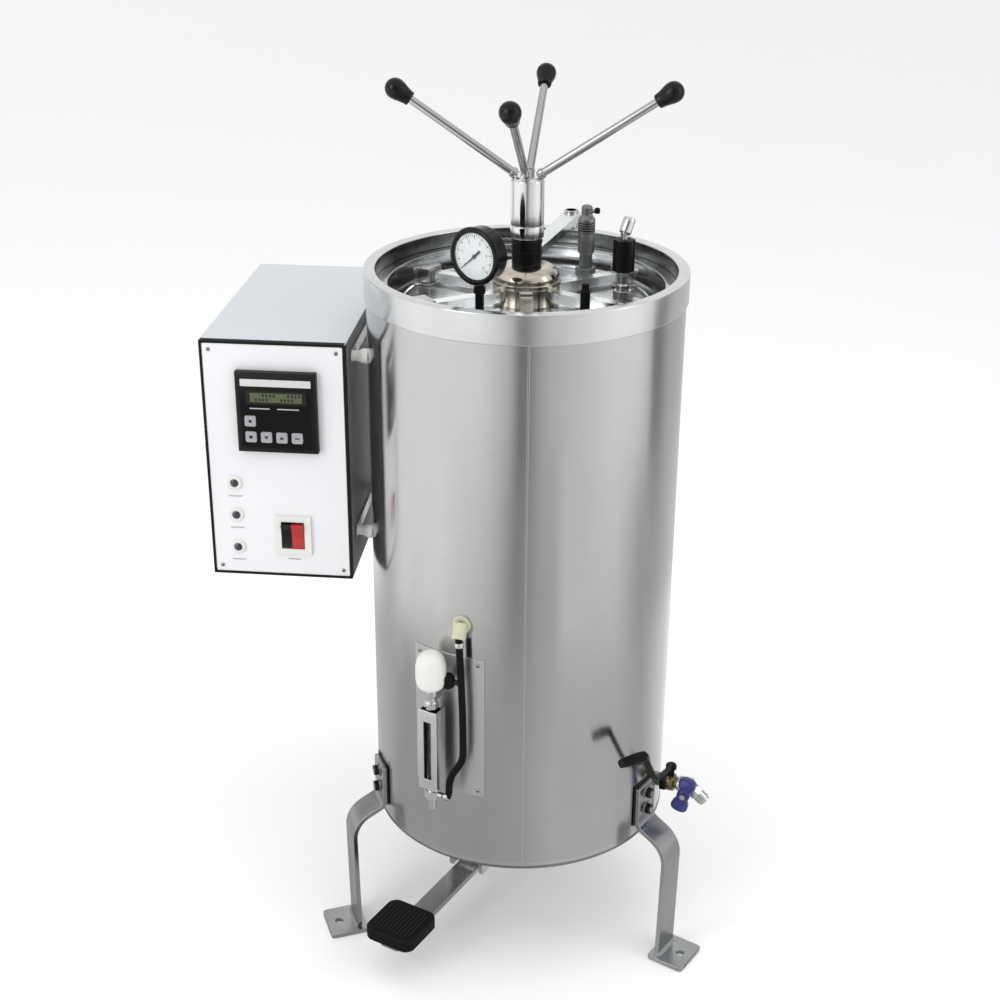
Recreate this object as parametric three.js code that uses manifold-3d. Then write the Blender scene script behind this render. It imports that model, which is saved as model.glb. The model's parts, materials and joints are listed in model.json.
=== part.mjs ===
// Vertical laboratory autoclave: a jacketed round vessel on three legs, with a pedal-lifted radial-locking
// lid, a side control box, a water level gauge and a drain line. Millimetres, +Z up.
// Azimuths are degrees from -Y towards +X. The vessel axis is x = y = 0 and the floor is z = 0 while the
// parts are built; the whole group is then moved so that its bounding box's bottom centre is the origin.
import * as THREE from 'three';
import { mergeVertices } from 'three/addons/utils/BufferGeometryUtils.js';
import Module from 'manifold-3d';

const wasm = await Module();
wasm.setup();

// ---- driving dimensions ----
const GAP = 0.3;
const FINE = 48;
const ROUND = 16;
const SMALL = 8;

const SHELL_RADIUS = 187.5;
const SHELL_BOTTOM = 172;
const SHEET = 1.5;
const RIM_RADIUS = 190;
const RIM_TOP = 887;
const RIM_HEIGHT = 34.5;
const RIM_SHEET = 2;
const RIM_BORE = 176.5;

const CHAMBER_RADIUS = 150;
const CHAMBER_WALL = 2;
const CHAMBER_DISH = 42;
const FLANGE_TOP = 832;
const FLANGE_RADIUS = 185.5;
const FLANGE_THICKNESS = 6;
const CHAMBER_FLOOR = 332;

const LIP_BORE = 162;
const LIP_BOTTOM = 862.5;
const LIP_TOP = 868.5;
const GROOVE_RADIUS = 172;

const LID_TURN = 5;
const LID_RADIUS = 160;
const LID_BOTTOM = 836.7;
const LID_TOP = 846.7;
const BOLT_COUNT = 6;
const BOLT_BOTTOM = 850;
const BOLT_TOP = 862;
const BOLT_WIDTH = 14;
const BOLT_TONGUE = 7;
const BOLT_REACH = 156;
const BOLT_ROOT = 8.5;
const BOLT_SHOULDER = 24;
const PIN_RADIUS = 2.5;
const PIN_START = 12.5;
const BOLT_STROKE = 12;
const CAM_TURN = 60;
const CAM_RADIUS = 30.3;
const CAM_THICKNESS = 5;
const PIN_PLAY = 0.6;

const HUB_RADIUS = 39;
const HUB_BORE = 31;
const HUB_TOP = 871;
const BELL_TOP = 889;
const BELL_TOP_RADIUS = 25;
const SPINDLE_RADIUS = 12;
const COLUMN_RADIUS = 19.5;
const COLLAR_RADIUS = 17.4;
const COLLAR_TOP = 922;
const SLEEVE_TOP = 936.7;
const HEAD_TOP = 991;
const SPOKE_ROOT = 985;
const SPOKE_TIPS = [[146, 104], [157, 104], [160, 93], [148, 98]];
const SPOKE_RADIUS = 4.8;
const SPOKE_TURN = -3;
const KNOB_RADIUS = 12.2;
const KNOB_NECK = 8.4;
const KNOB_LENGTH = 33;
const KNOB_GRIP = 9;

const LEG_AZIMUTHS = { leg_left: -67, leg_right: 62, leg_rear: 180 };
const LEG_WIDTH = 40;
const LEG_THICKNESS = 6;
const LEG_PLATE_TOP = 245;
const LEG_KNEE = 189;
const LEG_BAR_RADIUS = 229.5;
const LEG_TOE_RADIUS = 270;
const FOOT_PLATE = { from: 220, width: 56 };
const ANCHOR_HOLE_RADIUS = 5;
const LEG_BENDS = [14, 36, 8];

const BOX_RIGHT = -203.6;
const BOX_WIDTH = 172.8;
const BOX_FRONT = -72.8;
const BOX_DEPTH = 321;
const BOX_BOTTOM = 504.7;
const BOX_HEIGHT = 302;
const BOX_EDGE = 2.6;

const CONTROLLER_X = -286;
const CONTROLLER_Z = 722;
const CONTROLLER_SIZE = [96, 100];
const KEY_SIZE = [13.5, 13.5];
const KEY_PLACES = [[-318, 711], [-318, 691], [-299.5, 691], [-281, 691], [-262.5, 691]];
const SWITCH_X = -275;
const SWITCH_Z = 561;
const SWITCH_SIZE = [45, 50];
const ROCKER_WIDTH = 27.6;
const ROCKER_HEIGHT = 33;
const ROCKER_TILT = 8;

const STANDOFF_RADIUS = 7.2;
const STANDOFF_Z = { standoff_upper: 783, standoff_lower: 556 };
const STANDOFF_Y = [-40, 96];

const GAUGE_AZIMUTH = -25.6;
const GAUGE_RADIUS = 212;
const GAUGE_PLATE = { from: -37.8, to: -8.9, bottom: 274, top: 464 };
const CHANNEL = { inner: 202, outer: 222, half: 13, wall: 2, bottom: 290, top: 399 };
const SLOT = { half: 5, bottom: 304, top: 384 };
const GAUGE_CAP_BOTTOM = 427;
const GAUGE_CAP_TOP = 475.5;
const GAUGE_FEED_Z = { upper: 411, lower: 280 };
const DRAIN_AZIMUTH = 73;
const DRAIN_Z = 228.5;

const ROD_AZIMUTH = 168;
const ROD_ORBIT = 203;
const ROD_RADIUS = 9;
const ROD_FOOT_Z = 74.8;
const ARM_BOTTOM = 890;
const ARM_TOP = 902;
const PAD_CENTRE = [-135.5, -182];
const PAD_SIZE = 70;
const PAD_CORNER = 8;
const PAD_TOP = 78;
const PAD_THICKNESS = 19;
const LEVER_WIDTH = 30;
const LEVER_THICKNESS = 8;
const PIVOT_Z = 66;
const PIVOT_PIN_RADIUS = 6;
const PIVOT_FROM_PAD = 175;

// ---- small helpers ----
const rad = THREE.MathUtils.degToRad;

function around(azimuth, radius, z = 0) {
  return new THREE.Vector3(radius * Math.sin(rad(azimuth)), -radius * Math.cos(rad(azimuth)), z);
}

function lathe(points, segments = ROUND) {
  const outline = points.map(([r, z]) => new THREE.Vector2(r, z));
  return new THREE.LatheGeometry(outline, segments).rotateX(Math.PI / 2);
}

function ring(points, segments = ROUND) {
  return lathe([...points, points[0]], segments);
}

function cylinder(radius, bottom, top, segments = ROUND) {
  return lathe([[0, bottom], [radius, bottom], [radius, top], [0, top]], segments);
}

function tube(inner, outer, bottom, top, segments = ROUND) {
  return ring([[outer, bottom], [outer, top], [inner, top], [inner, bottom]], segments);
}

function box(x0, x1, y0, y1, z0, z1) {
  const geometry = new THREE.BoxGeometry(x1 - x0, y1 - y0, z1 - z0);
  return geometry.translate((x0 + x1) / 2, (y0 + y1) / 2, (z0 + z1) / 2);
}

function prism(shape, bottom, top, curveSegments = SMALL) {
  const depth = top - bottom;
  const options = { depth, bevelEnabled: false, curveSegments };
  return new THREE.ExtrudeGeometry(shape, options).translate(0, 0, bottom);
}

function polygon(points) {
  return new THREE.Shape(points.map(([x, y]) => new THREE.Vector2(x, y)));
}

function hexagon(acrossFlats) {
  const corner = acrossFlats / Math.sqrt(3);
  const points = [];
  for (let k = 0; k < 6; k += 1) {
    points.push([corner * Math.cos(k * Math.PI / 3), corner * Math.sin(k * Math.PI / 3)]);
  }
  return polygon(points);
}

// turns a geometry built along +Z so that it runs from one point towards another
function along(geometry, from, to) {
  const direction = new THREE.Vector3().subVectors(to, from).normalize();
  const turn = new THREE.Quaternion().setFromUnitVectors(new THREE.Vector3(0, 0, 1), direction);
  return geometry.applyQuaternion(turn).translate(from.x, from.y, from.z);
}

function rod(from, to, radius, segments = SMALL) {
  return along(cylinder(radius, 0, from.distanceTo(to), segments), from, to);
}

function sweep(points, radius, steps, sides = 8) {
  const section = new THREE.Shape().absarc(0, 0, radius, 0, 2 * Math.PI);
  const path = new THREE.CatmullRomCurve3(points.map(([x, y, z]) => new THREE.Vector3(x, y, z)));
  return new THREE.ExtrudeGeometry(section, { steps, extrudePath: path, curveSegments: sides });
}

// an outline point list with every inner corner rounded to its own radius
function filleted(points, radii, steps = 5) {
  const out = [points[0]];
  for (let i = 1; i < points.length - 1; i += 1) {
    const corner = points[i];
    const before = new THREE.Vector2().subVectors(points[i - 1], corner).normalize();
    const after = new THREE.Vector2().subVectors(points[i + 1], corner).normalize();
    const half = Math.acos(THREE.MathUtils.clamp(before.dot(after), -1, 1)) / 2;
    const reach = radii[i - 1] / Math.tan(half);
    const middle = new THREE.Vector2().addVectors(before, after).normalize();
    const centre = corner.clone().addScaledVector(middle, radii[i - 1] / Math.sin(half));
    const start = corner.clone().addScaledVector(before, reach).sub(centre);
    const end = corner.clone().addScaledVector(after, reach).sub(centre);
    const sweepAngle = Math.atan2(start.cross(end), start.dot(end));
    for (let k = 0; k <= steps; k += 1) {
      out.push(start.clone().rotateAround(new THREE.Vector2(), sweepAngle * k / steps).add(centre));
    }
  }
  out.push(points[points.length - 1]);
  return out;
}

// a bent strip of constant thickness about a centre line, as an outline
function ribbon(line, thickness) {
  const left = [];
  const right = [];
  line.forEach((point, i) => {
    const before = i ? point.clone().sub(line[i - 1]).normalize() : null;
    const after = i < line.length - 1 ? line[i + 1].clone().sub(point).normalize() : null;
    const a = before ?? after;
    const b = after ?? before;
    const normal = new THREE.Vector2(-(a.y + b.y), a.x + b.x).normalize();
    const reach = thickness / 2 / (normal.x * -a.y + normal.y * a.x);
    left.push(point.clone().addScaledVector(normal, reach));
    right.push(point.clone().addScaledVector(normal, -reach));
  });
  return new THREE.Shape([...right, ...left.reverse()]);
}

// a strip bent in a vertical plane: the outline's x stays x, its y becomes z, and the width runs along y
function bentStrip(corners, radii, thickness, width) {
  const line = filleted(corners.map(([x, z]) => new THREE.Vector2(x, z)), radii);
  return prism(ribbon(line, thickness), -width / 2, width / 2).rotateX(Math.PI / 2);
}

function toSolid(geometry) {
  const bare = geometry.clone();
  for (const name of Object.keys(bare.attributes)) {
    if (name !== 'position') bare.deleteAttribute(name);
  }
  const merged = mergeVertices(bare, 1e-4);
  const corners = [];
  for (let i = 0; i < merged.index.count; i += 3) {
    const [a, b, c] = [merged.index.getX(i), merged.index.getX(i + 1), merged.index.getX(i + 2)];
    if (a !== b && b !== c && a !== c) corners.push(a, b, c);
  }
  return new wasm.Manifold(new wasm.Mesh({
    numProp: 3,
    vertProperties: new Float32Array(merged.attributes.position.array),
    triVerts: new Uint32Array(corners),
  }));
}

function toGeometry(solid) {
  const mesh = solid.getMesh();
  const geometry = new THREE.BufferGeometry();
  geometry.setAttribute('position', new THREE.BufferAttribute(new Float32Array(mesh.vertProperties), 3));
  geometry.setIndex([...mesh.triVerts]);
  const flat = geometry.toNonIndexed();
  flat.computeVertexNormals();
  return flat;
}

function join(...geometries) {
  return toGeometry(geometries.map(toSolid).reduce((sum, solid) => sum.add(solid)));
}

function cut(geometry, ...tools) {
  return toGeometry(tools.map(toSolid).reduce((rest, tool) => rest.subtract(tool), toSolid(geometry)));
}

// ---- materials ----
function paint(color, roughness, metalness = 0) {
  return () => new THREE.MeshStandardMaterial({ color, roughness, metalness });
}

const stainless = paint(0xb9bab8, 0.28, 1);
const satin = paint(0xa6a8a8, 0.42, 1);
const chrome = paint(0xd6d8da, 0.1, 1);
const bronze = paint(0x8d6c3f, 0.35, 1);
const brass = paint(0xb5975a, 0.35, 1);
const rubber = paint(0x151515, 0.8);
const blackPlastic = paint(0x101112, 0.4);
const greyPlastic = paint(0xa5a8aa, 0.5);
const whitePlastic = paint(0xeeeeea, 0.4);
const bluePlastic = paint(0x232a78, 0.4);
const redPlastic = paint(0xb01f1d, 0.35);
const powderGrey = paint(0xd4d6d8, 0.55);
const panelWhite = paint(0xf2f3f4, 0.45);
const silicone = paint(0xc9c4bd, 0.7);
const mineralWool = paint(0xc8b98a, 0.95);
const glass = paint(0xd5e2e2, 0.05);

const autoclave = new THREE.Group();
const vessel = new THREE.Group();
autoclave.add(vessel);

function add(name, geometry, material, parent = vessel) {
  const mesh = new THREE.Mesh(geometry, material());
  mesh.name = name;
  parent.add(mesh);
  return mesh;
}

// a group whose local +X points radially outwards at the azimuth, with local +Y towards growing azimuth
function radial(azimuth, radius = 0, z = 0) {
  const group = new THREE.Group();
  group.position.copy(around(azimuth, radius, z));
  group.rotation.z = rad(azimuth - 90);
  vessel.add(group);
  return group;
}

// ---- vessel body ----
function outerShell() {
  const drain = around(DRAIN_AZIMUTH, 1, 0);
  const wall = tube(SHELL_RADIUS - SHEET, SHELL_RADIUS, SHELL_BOTTOM, RIM_TOP - RIM_SHEET - GAP, FINE);
  const from = drain.clone().multiplyScalar(SHELL_RADIUS - 30).setZ(DRAIN_Z);
  const to = drain.clone().multiplyScalar(SHELL_RADIUS + 30).setZ(DRAIN_Z);
  add('outer_shell', cut(wall, rod(from, to, 10, ROUND)), stainless);
}

function rimBand() {
  const bottom = RIM_TOP - RIM_HEIGHT;
  add('rim_band', ring([
    [RIM_RADIUS, bottom],
    [RIM_RADIUS, RIM_TOP],
    [RIM_BORE, RIM_TOP],
    [RIM_BORE, LIP_TOP + GAP],
    [RIM_BORE + RIM_SHEET, LIP_TOP + GAP],
    [RIM_BORE + RIM_SHEET, RIM_TOP - RIM_SHEET],
    [RIM_RADIUS - RIM_SHEET, RIM_TOP - RIM_SHEET],
    [RIM_RADIUS - RIM_SHEET, bottom],
  ], FINE), stainless);
}

function lockingRing() {
  add('locking_ring', ring([
    [FLANGE_RADIUS, FLANGE_TOP + GAP],
    [FLANGE_RADIUS, LIP_TOP],
    [LIP_BORE, LIP_TOP],
    [LIP_BORE, LIP_BOTTOM],
    [GROOVE_RADIUS, LIP_BOTTOM],
    [GROOVE_RADIUS, FLANGE_TOP + GAP],
  ], FINE), satin);
}

// half an ellipse from the axis out to the wall, at a given radius and depth
function dish(radius, depth, bottom, steps = 5) {
  const points = [];
  for (let k = 0; k <= steps; k += 1) {
    const t = k / steps * Math.PI / 2;
    points.push([radius * Math.sin(t), bottom + depth * (1 - Math.cos(t))]);
  }
  return points;
}

const HEATER_RADIUS = 95;
const HEATER_TUBE = 5;
const HEATER_Z = CHAMBER_FLOOR + 42;
const HEATER_TAIL_X = [-12, 12];

function chamber() {
  const outer = CHAMBER_RADIUS + CHAMBER_WALL;
  const inside = dish(CHAMBER_RADIUS, CHAMBER_DISH, CHAMBER_FLOOR);
  const outside = dish(outer, CHAMBER_DISH, CHAMBER_FLOOR - CHAMBER_WALL);
  const pot = lathe([
    ...outside,
    [outer, FLANGE_TOP - FLANGE_THICKNESS],
    [FLANGE_RADIUS, FLANGE_TOP - FLANGE_THICKNESS],
    [FLANGE_RADIUS, FLANGE_TOP],
    [CHAMBER_RADIUS, FLANGE_TOP],
    ...inside.reverse(),
  ], FINE);
  const end = around(DRAIN_AZIMUTH, 1);
  const route = [
    [0, 0, CHAMBER_FLOOR - 1],
    [0, 0, DRAIN_Z + 60],
    [end.x * 12, end.y * 12, DRAIN_Z + 22],
    [end.x * 45, end.y * 45, DRAIN_Z],
    [end.x * 120, end.y * 120, DRAIN_Z],
    [end.x * 199, end.y * 199, DRAIN_Z],
  ];
  const pipe = sweep(route, 9, 14, 5);
  const tails = HEATER_TAIL_X.map((x) => cylinder(HEATER_TUBE + 1, CHAMBER_FLOOR - 20, HEATER_Z, SMALL)
    .translate(x, -HEATER_RADIUS, 0));
  const bore = cylinder(6, CHAMBER_FLOOR - 5, CHAMBER_FLOOR + 5, SMALL);
  add('chamber', cut(join(pot, pipe), bore, ...tails), satin);
}

function bottomCover() {
  const plate = cylinder(FLANGE_RADIUS, SHELL_BOTTOM + 1, SHELL_BOTTOM + 3, FINE);
  const frame = leverFrame();
  const [low, high] = [PIVOT_Z - 12, SHELL_BOTTOM + 2];
  const cheek = polygon([[-16, low], [16, low], [26, high], [-26, high]]);
  const cheeks = [20, -26].map((y) => prism(cheek, 0, 6).rotateX(Math.PI / 2).translate(0, y + 6, 0));
  const pinEnds = [-25, 25].map((y) => new THREE.Vector3(0, y, PIVOT_Z));
  const pin = rod(...pinEnds, PIVOT_PIN_RADIUS, ROUND);
  const { x, y } = frame.pivot;
  const bracket = [...cheeks, pin].map((part) => part.rotateZ(frame.turn).translate(x, y, 0));
  add('bottom_cover', join(plate, ...bracket), satin);
}

function insulation() {
  const inner = CHAMBER_RADIUS + CHAMBER_WALL + 2;
  const outer = SHELL_RADIUS - SHEET - 2;
  add('insulation_blanket', tube(inner, outer, 380, FLANGE_TOP - FLANGE_THICKNESS - 2, FINE), mineralWool);
}

function heatingElement() {
  const start = Math.asin(HEATER_TAIL_X[1] / HEATER_RADIUS);
  const points = [[HEATER_TAIL_X[1], -HEATER_RADIUS, CHAMBER_FLOOR - 16]];
  points.push([HEATER_TAIL_X[1], -HEATER_RADIUS, HEATER_Z - 14]);
  const turns = 10;
  for (let k = 0; k <= turns; k += 1) {
    const angle = start + 0.1 + (2 * Math.PI - 2 * start - 0.2) * k / turns;
    points.push([HEATER_RADIUS * Math.sin(angle), -HEATER_RADIUS * Math.cos(angle), HEATER_Z]);
  }
  points.push([HEATER_TAIL_X[0], -HEATER_RADIUS, HEATER_Z - 14]);
  points.push([HEATER_TAIL_X[0], -HEATER_RADIUS, CHAMBER_FLOOR - 16]);
  add('heating_element', sweep(points, HEATER_TUBE - 1, 40, 3), satin);
}

function loadBasket() {
  const floor = HEATER_Z + 16;
  const wall = 132;
  const cup = lathe([
    [0, floor], [wall, floor], [wall, 790], [wall + 3, 790], [wall + 3, 794], [wall - 1.5, 794],
    [wall - 1.5, floor + 1.5], [0, floor + 1.5],
  ], 32);
  const feet = [0, 120, 240].map((azimuth) => {
    const place = around(azimuth + 60, 118);
    return cylinder(4, CHAMBER_FLOOR + 21, floor + 1, SMALL).translate(place.x, place.y, 0);
  });
  add('load_basket', join(cup, ...feet), satin);
}

function legs() {
  const inner = SHELL_RADIUS + GAP + LEG_THICKNESS / 2;
  for (const [name, azimuth] of Object.entries(LEG_AZIMUTHS)) {
    const strip = bentStrip([
      [inner, LEG_PLATE_TOP], [inner, LEG_KNEE], [LEG_BAR_RADIUS + 3, LEG_KNEE - 22],
      [LEG_BAR_RADIUS, LEG_THICKNESS / 2], [LEG_TOE_RADIUS, LEG_THICKNESS / 2],
    ], LEG_BENDS, LEG_THICKNESS, LEG_WIDTH);
    const heads = [LEG_PLATE_TOP - 12, LEG_KNEE + 20].map((z) => prism(hexagon(13), 0, 7)
      .rotateY(Math.PI / 2).translate(inner + LEG_THICKNESS / 2 - 0.5, 0, z));
    const half = FOOT_PLATE.width / 2;
    const plate = box(FOOT_PLATE.from, LEG_TOE_RADIUS, -half, half, 0, LEG_THICKNESS);
    const hole = cylinder(ANCHOR_HOLE_RADIUS, -1, LEG_THICKNESS + 1, SMALL);
    hole.translate(LEG_TOE_RADIUS - 16, 0, 0);
    add(name, cut(join(strip, plate, ...heads), hole), satin, radial(azimuth));
  }
}

// ---- control box ----
function controlHousing() {
  const left = BOX_RIGHT - BOX_WIDTH;
  const back = BOX_FRONT + BOX_DEPTH;
  const top = BOX_BOTTOM + BOX_HEIGHT;
  const outside = box(left, BOX_RIGHT, BOX_FRONT, back, BOX_BOTTOM, top);
  const [insideLow, insideHigh] = [BOX_BOTTOM + SHEET, top - SHEET];
  const inside = box(left + SHEET, BOX_RIGHT - SHEET, BOX_FRONT + 4.5, back - SHEET, insideLow, insideHigh);
  const recess = box(left + BOX_EDGE, BOX_RIGHT - BOX_EDGE, BOX_FRONT - 1, BOX_FRONT + 3,
    BOX_BOTTOM + BOX_EDGE, top - BOX_EDGE);
  const mouth = box(left + 12, BOX_RIGHT - 12, BOX_FRONT - 1, BOX_FRONT + 10, BOX_BOTTOM + 12, top - 12);
  add('control_housing', cut(outside, inside, recess, mouth), powderGrey);
}

function frontPanel() {
  const [left, right] = [BOX_RIGHT - BOX_WIDTH + BOX_EDGE + GAP, BOX_RIGHT - BOX_EDGE - GAP];
  const [low, high] = [BOX_BOTTOM + BOX_EDGE + GAP, BOX_BOTTOM + BOX_HEIGHT - BOX_EDGE - GAP];
  const plate = box(left, right, BOX_FRONT + 0.5, BOX_FRONT + 2.6, low, high);
  const opening = (x, z, width, height) => box(
    x - width / 2, x + width / 2, BOX_FRONT - 5, BOX_FRONT + 9, z - height / 2, z + height / 2,
  );
  const display = opening(CONTROLLER_X, CONTROLLER_Z, 91, 91);
  const [canWidth, canHeight] = switchCan();
  const rocker = opening(SWITCH_X, SWITCH_Z, canWidth + 2 * GAP, canHeight + 2 * GAP);
  add('front_panel', cut(plate, display, rocker), panelWhite);
}

const BEZEL_DEPTH = 8;
const KEY_PROUD = 1.4;

function controller() {
  const face = BOX_FRONT + 0.2;
  const [width, height] = CONTROLLER_SIZE;
  const bezel = box(CONTROLLER_X - width / 2, CONTROLLER_X + width / 2, face - BEZEL_DEPTH, face,
    CONTROLLER_Z - height / 2, CONTROLLER_Z + height / 2);
  const [left, right] = [CONTROLLER_X - 45, CONTROLLER_X + 45];
  const body = box(left, right, face - 1, face + 62, CONTROLLER_Z - 45, CONTROLLER_Z + 45);
  const pockets = KEY_PLACES.map(([x, z]) => box(x - KEY_SIZE[0] / 2 - 0.4, x + KEY_SIZE[0] / 2 + 0.4,
    face - BEZEL_DEPTH - 1, face - BEZEL_DEPTH + 5, z - KEY_SIZE[1] / 2 - 0.4, z + KEY_SIZE[1] / 2 + 0.4));
  add('controller_case', cut(join(bezel, body), ...pockets), blackPlastic);
  KEY_PLACES.forEach(([x, z], i) => {
    const front = face - BEZEL_DEPTH - KEY_PROUD;
    const key = box(-KEY_SIZE[0] / 2, KEY_SIZE[0] / 2, 0, 4, -KEY_SIZE[1] / 2, KEY_SIZE[1] / 2);
    add(`key_${i + 1}`, key, greyPlastic).position.set(x, front, z);
  });
}

function switchCan() {
  return [ROCKER_WIDTH + 4.6, ROCKER_HEIGHT + 7.4];
}

function powerSwitch() {
  const [width, height] = SWITCH_SIZE;
  const [canWidth, canHeight] = switchCan();
  const wellX = ROCKER_WIDTH / 2 + 0.5;
  const wellZ = ROCKER_HEIGHT / 2 + 1.5;
  const flange = box(-width / 2, width / 2, -3, 0.2, -height / 2, height / 2);
  const can = box(-canWidth / 2, canWidth / 2, -1, 24, -canHeight / 2, canHeight / 2);
  const well = box(-wellX, wellX, -9, 18, -wellZ, wellZ);
  const frame = add('switch_frame', cut(join(flange, can), well), whitePlastic);
  frame.position.set(SWITCH_X, BOX_FRONT, SWITCH_Z);
  const half = ROCKER_HEIGHT / 2;
  const profile = polygon([[-6, -half], [6, 2 - half], [10, 0], [6, half - 2], [-6, half], [-3.6, 0]]);
  const rocker = prism(profile, -ROCKER_WIDTH / 2, ROCKER_WIDTH / 2);
  rocker.rotateY(-Math.PI / 2).rotateX(-Math.PI / 2);
  const mesh = add('power_rocker', rocker, redPlastic);
  mesh.position.set(SWITCH_X, BOX_FRONT, SWITCH_Z);
  mesh.rotation.x = rad(ROCKER_TILT);
}

function powerModule() {
  const middle = BOX_RIGHT - BOX_WIDTH / 2;
  const back = BOX_FRONT + BOX_DEPTH - SHEET - GAP;
  const plate = box(middle - 70, middle + 70, back - 2, back, BOX_BOTTOM + 30, BOX_BOTTOM + 270);
  const contactor = box(middle - 50, middle - 5, back - 82, back - 1, BOX_BOTTOM + 150, BOX_BOTTOM + 232);
  const transformer = box(middle + 5, middle + 60, back - 62, back - 1, BOX_BOTTOM + 160, BOX_BOTTOM + 225);
  const terminals = box(middle - 60, middle + 60, back - 34, back - 1, BOX_BOTTOM + 60, BOX_BOTTOM + 92);
  add('power_module', join(plate, contactor, transformer, terminals), greyPlastic);
}

function standoffs() {
  const [front, rear] = STANDOFF_Y;
  const start = BOX_RIGHT + GAP;
  const vesselSpace = cylinder(SHELL_RADIUS + GAP, SHELL_BOTTOM, RIM_TOP, FINE);
  for (const [name, z] of Object.entries(STANDOFF_Z)) {
    const posts = STANDOFF_Y.map((y) => rod(new THREE.Vector3(start, y, z),
      new THREE.Vector3(-Math.sqrt(SHELL_RADIUS ** 2 - y ** 2) + 8, y, z), STANDOFF_RADIUS, ROUND));
    const web = box(start, start + 2.2, front, rear, z - STANDOFF_RADIUS, z + STANDOFF_RADIUS);
    add(name, cut(join(...posts, web), vesselSpace), whitePlastic);
  }
}

// ---- water level gauge ----
function gaugePlate() {
  const sector = new THREE.Shape();
  const inner = SHELL_RADIUS + GAP;
  const [from, to] = [rad(GAUGE_PLATE.from - 90), rad(GAUGE_PLATE.to - 90)];
  sector.absarc(0, 0, inner + 1, from, to, false);
  sector.absarc(0, 0, inner, to, from, true);
  add('gauge_plate', prism(sector, GAUGE_PLATE.bottom, GAUGE_PLATE.top, 8), satin);
}

function levelGauge() {
  const mount = radial(GAUGE_AZIMUTH);
  const { inner, outer, half, wall, bottom, top } = CHANNEL;
  const section = polygon([
    [inner, -half], [outer, -half], [outer, half], [inner, half], [inner, half - wall],
    [outer - wall, half - wall], [outer - wall, -half + wall], [inner, -half + wall],
  ]);
  const slot = box(outer - 7, outer + 3, -SLOT.half, SLOT.half, SLOT.bottom, SLOT.top);
  add('gauge_channel', cut(prism(section, bottom, top), slot), satin, mount);
  const sight = cylinder(5, bottom - 0.6, top + 0.6, SMALL).translate(GAUGE_RADIUS, 0, 0);
  add('gauge_glass', sight, glass, mount);

  const plateFace = SHELL_RADIUS + GAP + 1.4;
  const stub = (z, radius) => rod(
    new THREE.Vector3(plateFace, 0, z), new THREE.Vector3(GAUGE_RADIUS, 0, z), radius,
  );
  const neck = cylinder(8, top + 1, GAUGE_CAP_BOTTOM + 2, ROUND).translate(GAUGE_RADIUS, 0, 0);
  const cap = lathe([
    [0, GAUGE_CAP_BOTTOM], [12, GAUGE_CAP_BOTTOM],
    [16.5, GAUGE_CAP_BOTTOM + 4], [18.5, GAUGE_CAP_BOTTOM + 11],
    [18.5, GAUGE_CAP_TOP - 18], [15.5, GAUGE_CAP_TOP - 7], [8, GAUGE_CAP_TOP - 1], [0, GAUGE_CAP_TOP],
  ]).translate(GAUGE_RADIUS, 0, 0);
  add('gauge_cap', join(neck, stub(GAUGE_FEED_Z.upper, 6), cap), whitePlastic, mount);

  const feed = GAUGE_FEED_Z.lower;
  const foot = lathe([
    [0, feed - 22], [5, feed - 22], [5, feed - 8], [10, feed - 6],
    [10, feed + 6], [6.5, feed + 9], [0, feed + 9],
  ]).translate(GAUGE_RADIUS, 0, 0);
  const nippleEnds = [0, 14.6].map((y) => new THREE.Vector3(GAUGE_RADIUS, y, feed));
  const nipple = rod(...nippleEnds, 4);
  add('gauge_foot', join(foot, stub(feed, 5), nipple), satin, mount);
}

function gaugeHose() {
  const stations = [
    [-17.4, 190, 508], [-17.2, 199, 504], [-16.6, 202, 484], [-16, 202, 440], [-15.5, 202, 390],
    [-15.4, 202, 345], [-15.7, 203, 331], [-17, 205.5, 321], [-18.4, 209, 312], [-19.2, 211.5, 300],
    [-19.4, 212, 288], [-19.8, 212, 282], [-21, 212, 280],
  ];
  const route = stations.map(([azimuth, radius, z]) => around(azimuth, radius, z).toArray());
  add('gauge_hose', sweep(route, 4.5, 30, 4), rubber);
}

// ---- drain line ----
const VALVE_START = 196;
const VALVE_RADIUS = 208;
const OUTLET_START = 218;
const WING_RADIUS = 232;
const WING_FACE = 17.3;
const TAIL_DROOP = 40;
const TAIL_LENGTH = 27;
const LEVER_STATIONS = [[208, -2, 24], [204, -62, 42], [200, -100, 97], [180, -130, 98]];

function drainValve(mount) {
  const alongX = (geometry, x) => geometry.rotateY(Math.PI / 2).translate(x, 0, 0);
  const body = join(
    alongX(prism(hexagon(24), 0, 8), VALVE_START),
    alongX(cylinder(11, 7, 18), VALVE_START),
    cylinder(5, 0, 20, SMALL).translate(VALVE_RADIUS, 0, 0),
    alongX(cylinder(8, 17, OUTLET_START - GAP - VALVE_START), VALVE_START),
  );
  const throat = rod(new THREE.Vector3(190, 0, 0), new THREE.Vector3(VALVE_START + 3.5, 0, 0), 9.4, ROUND);
  add('drain_valve_body', cut(body, throat), brass, mount);

  const [start, knee, wrist, tip] = LEVER_STATIONS.map((station) => new THREE.Vector3(...station));
  const lever = join(
    cylinder(7, 20.3, 27, SMALL).translate(VALVE_RADIUS, 0, 0),
    rod(start, knee, 3.4), rod(knee, wrist, 3.6), rod(wrist, tip, 6.2),
  );
  add('drain_lever', lever, blackPlastic, mount);
}

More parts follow.
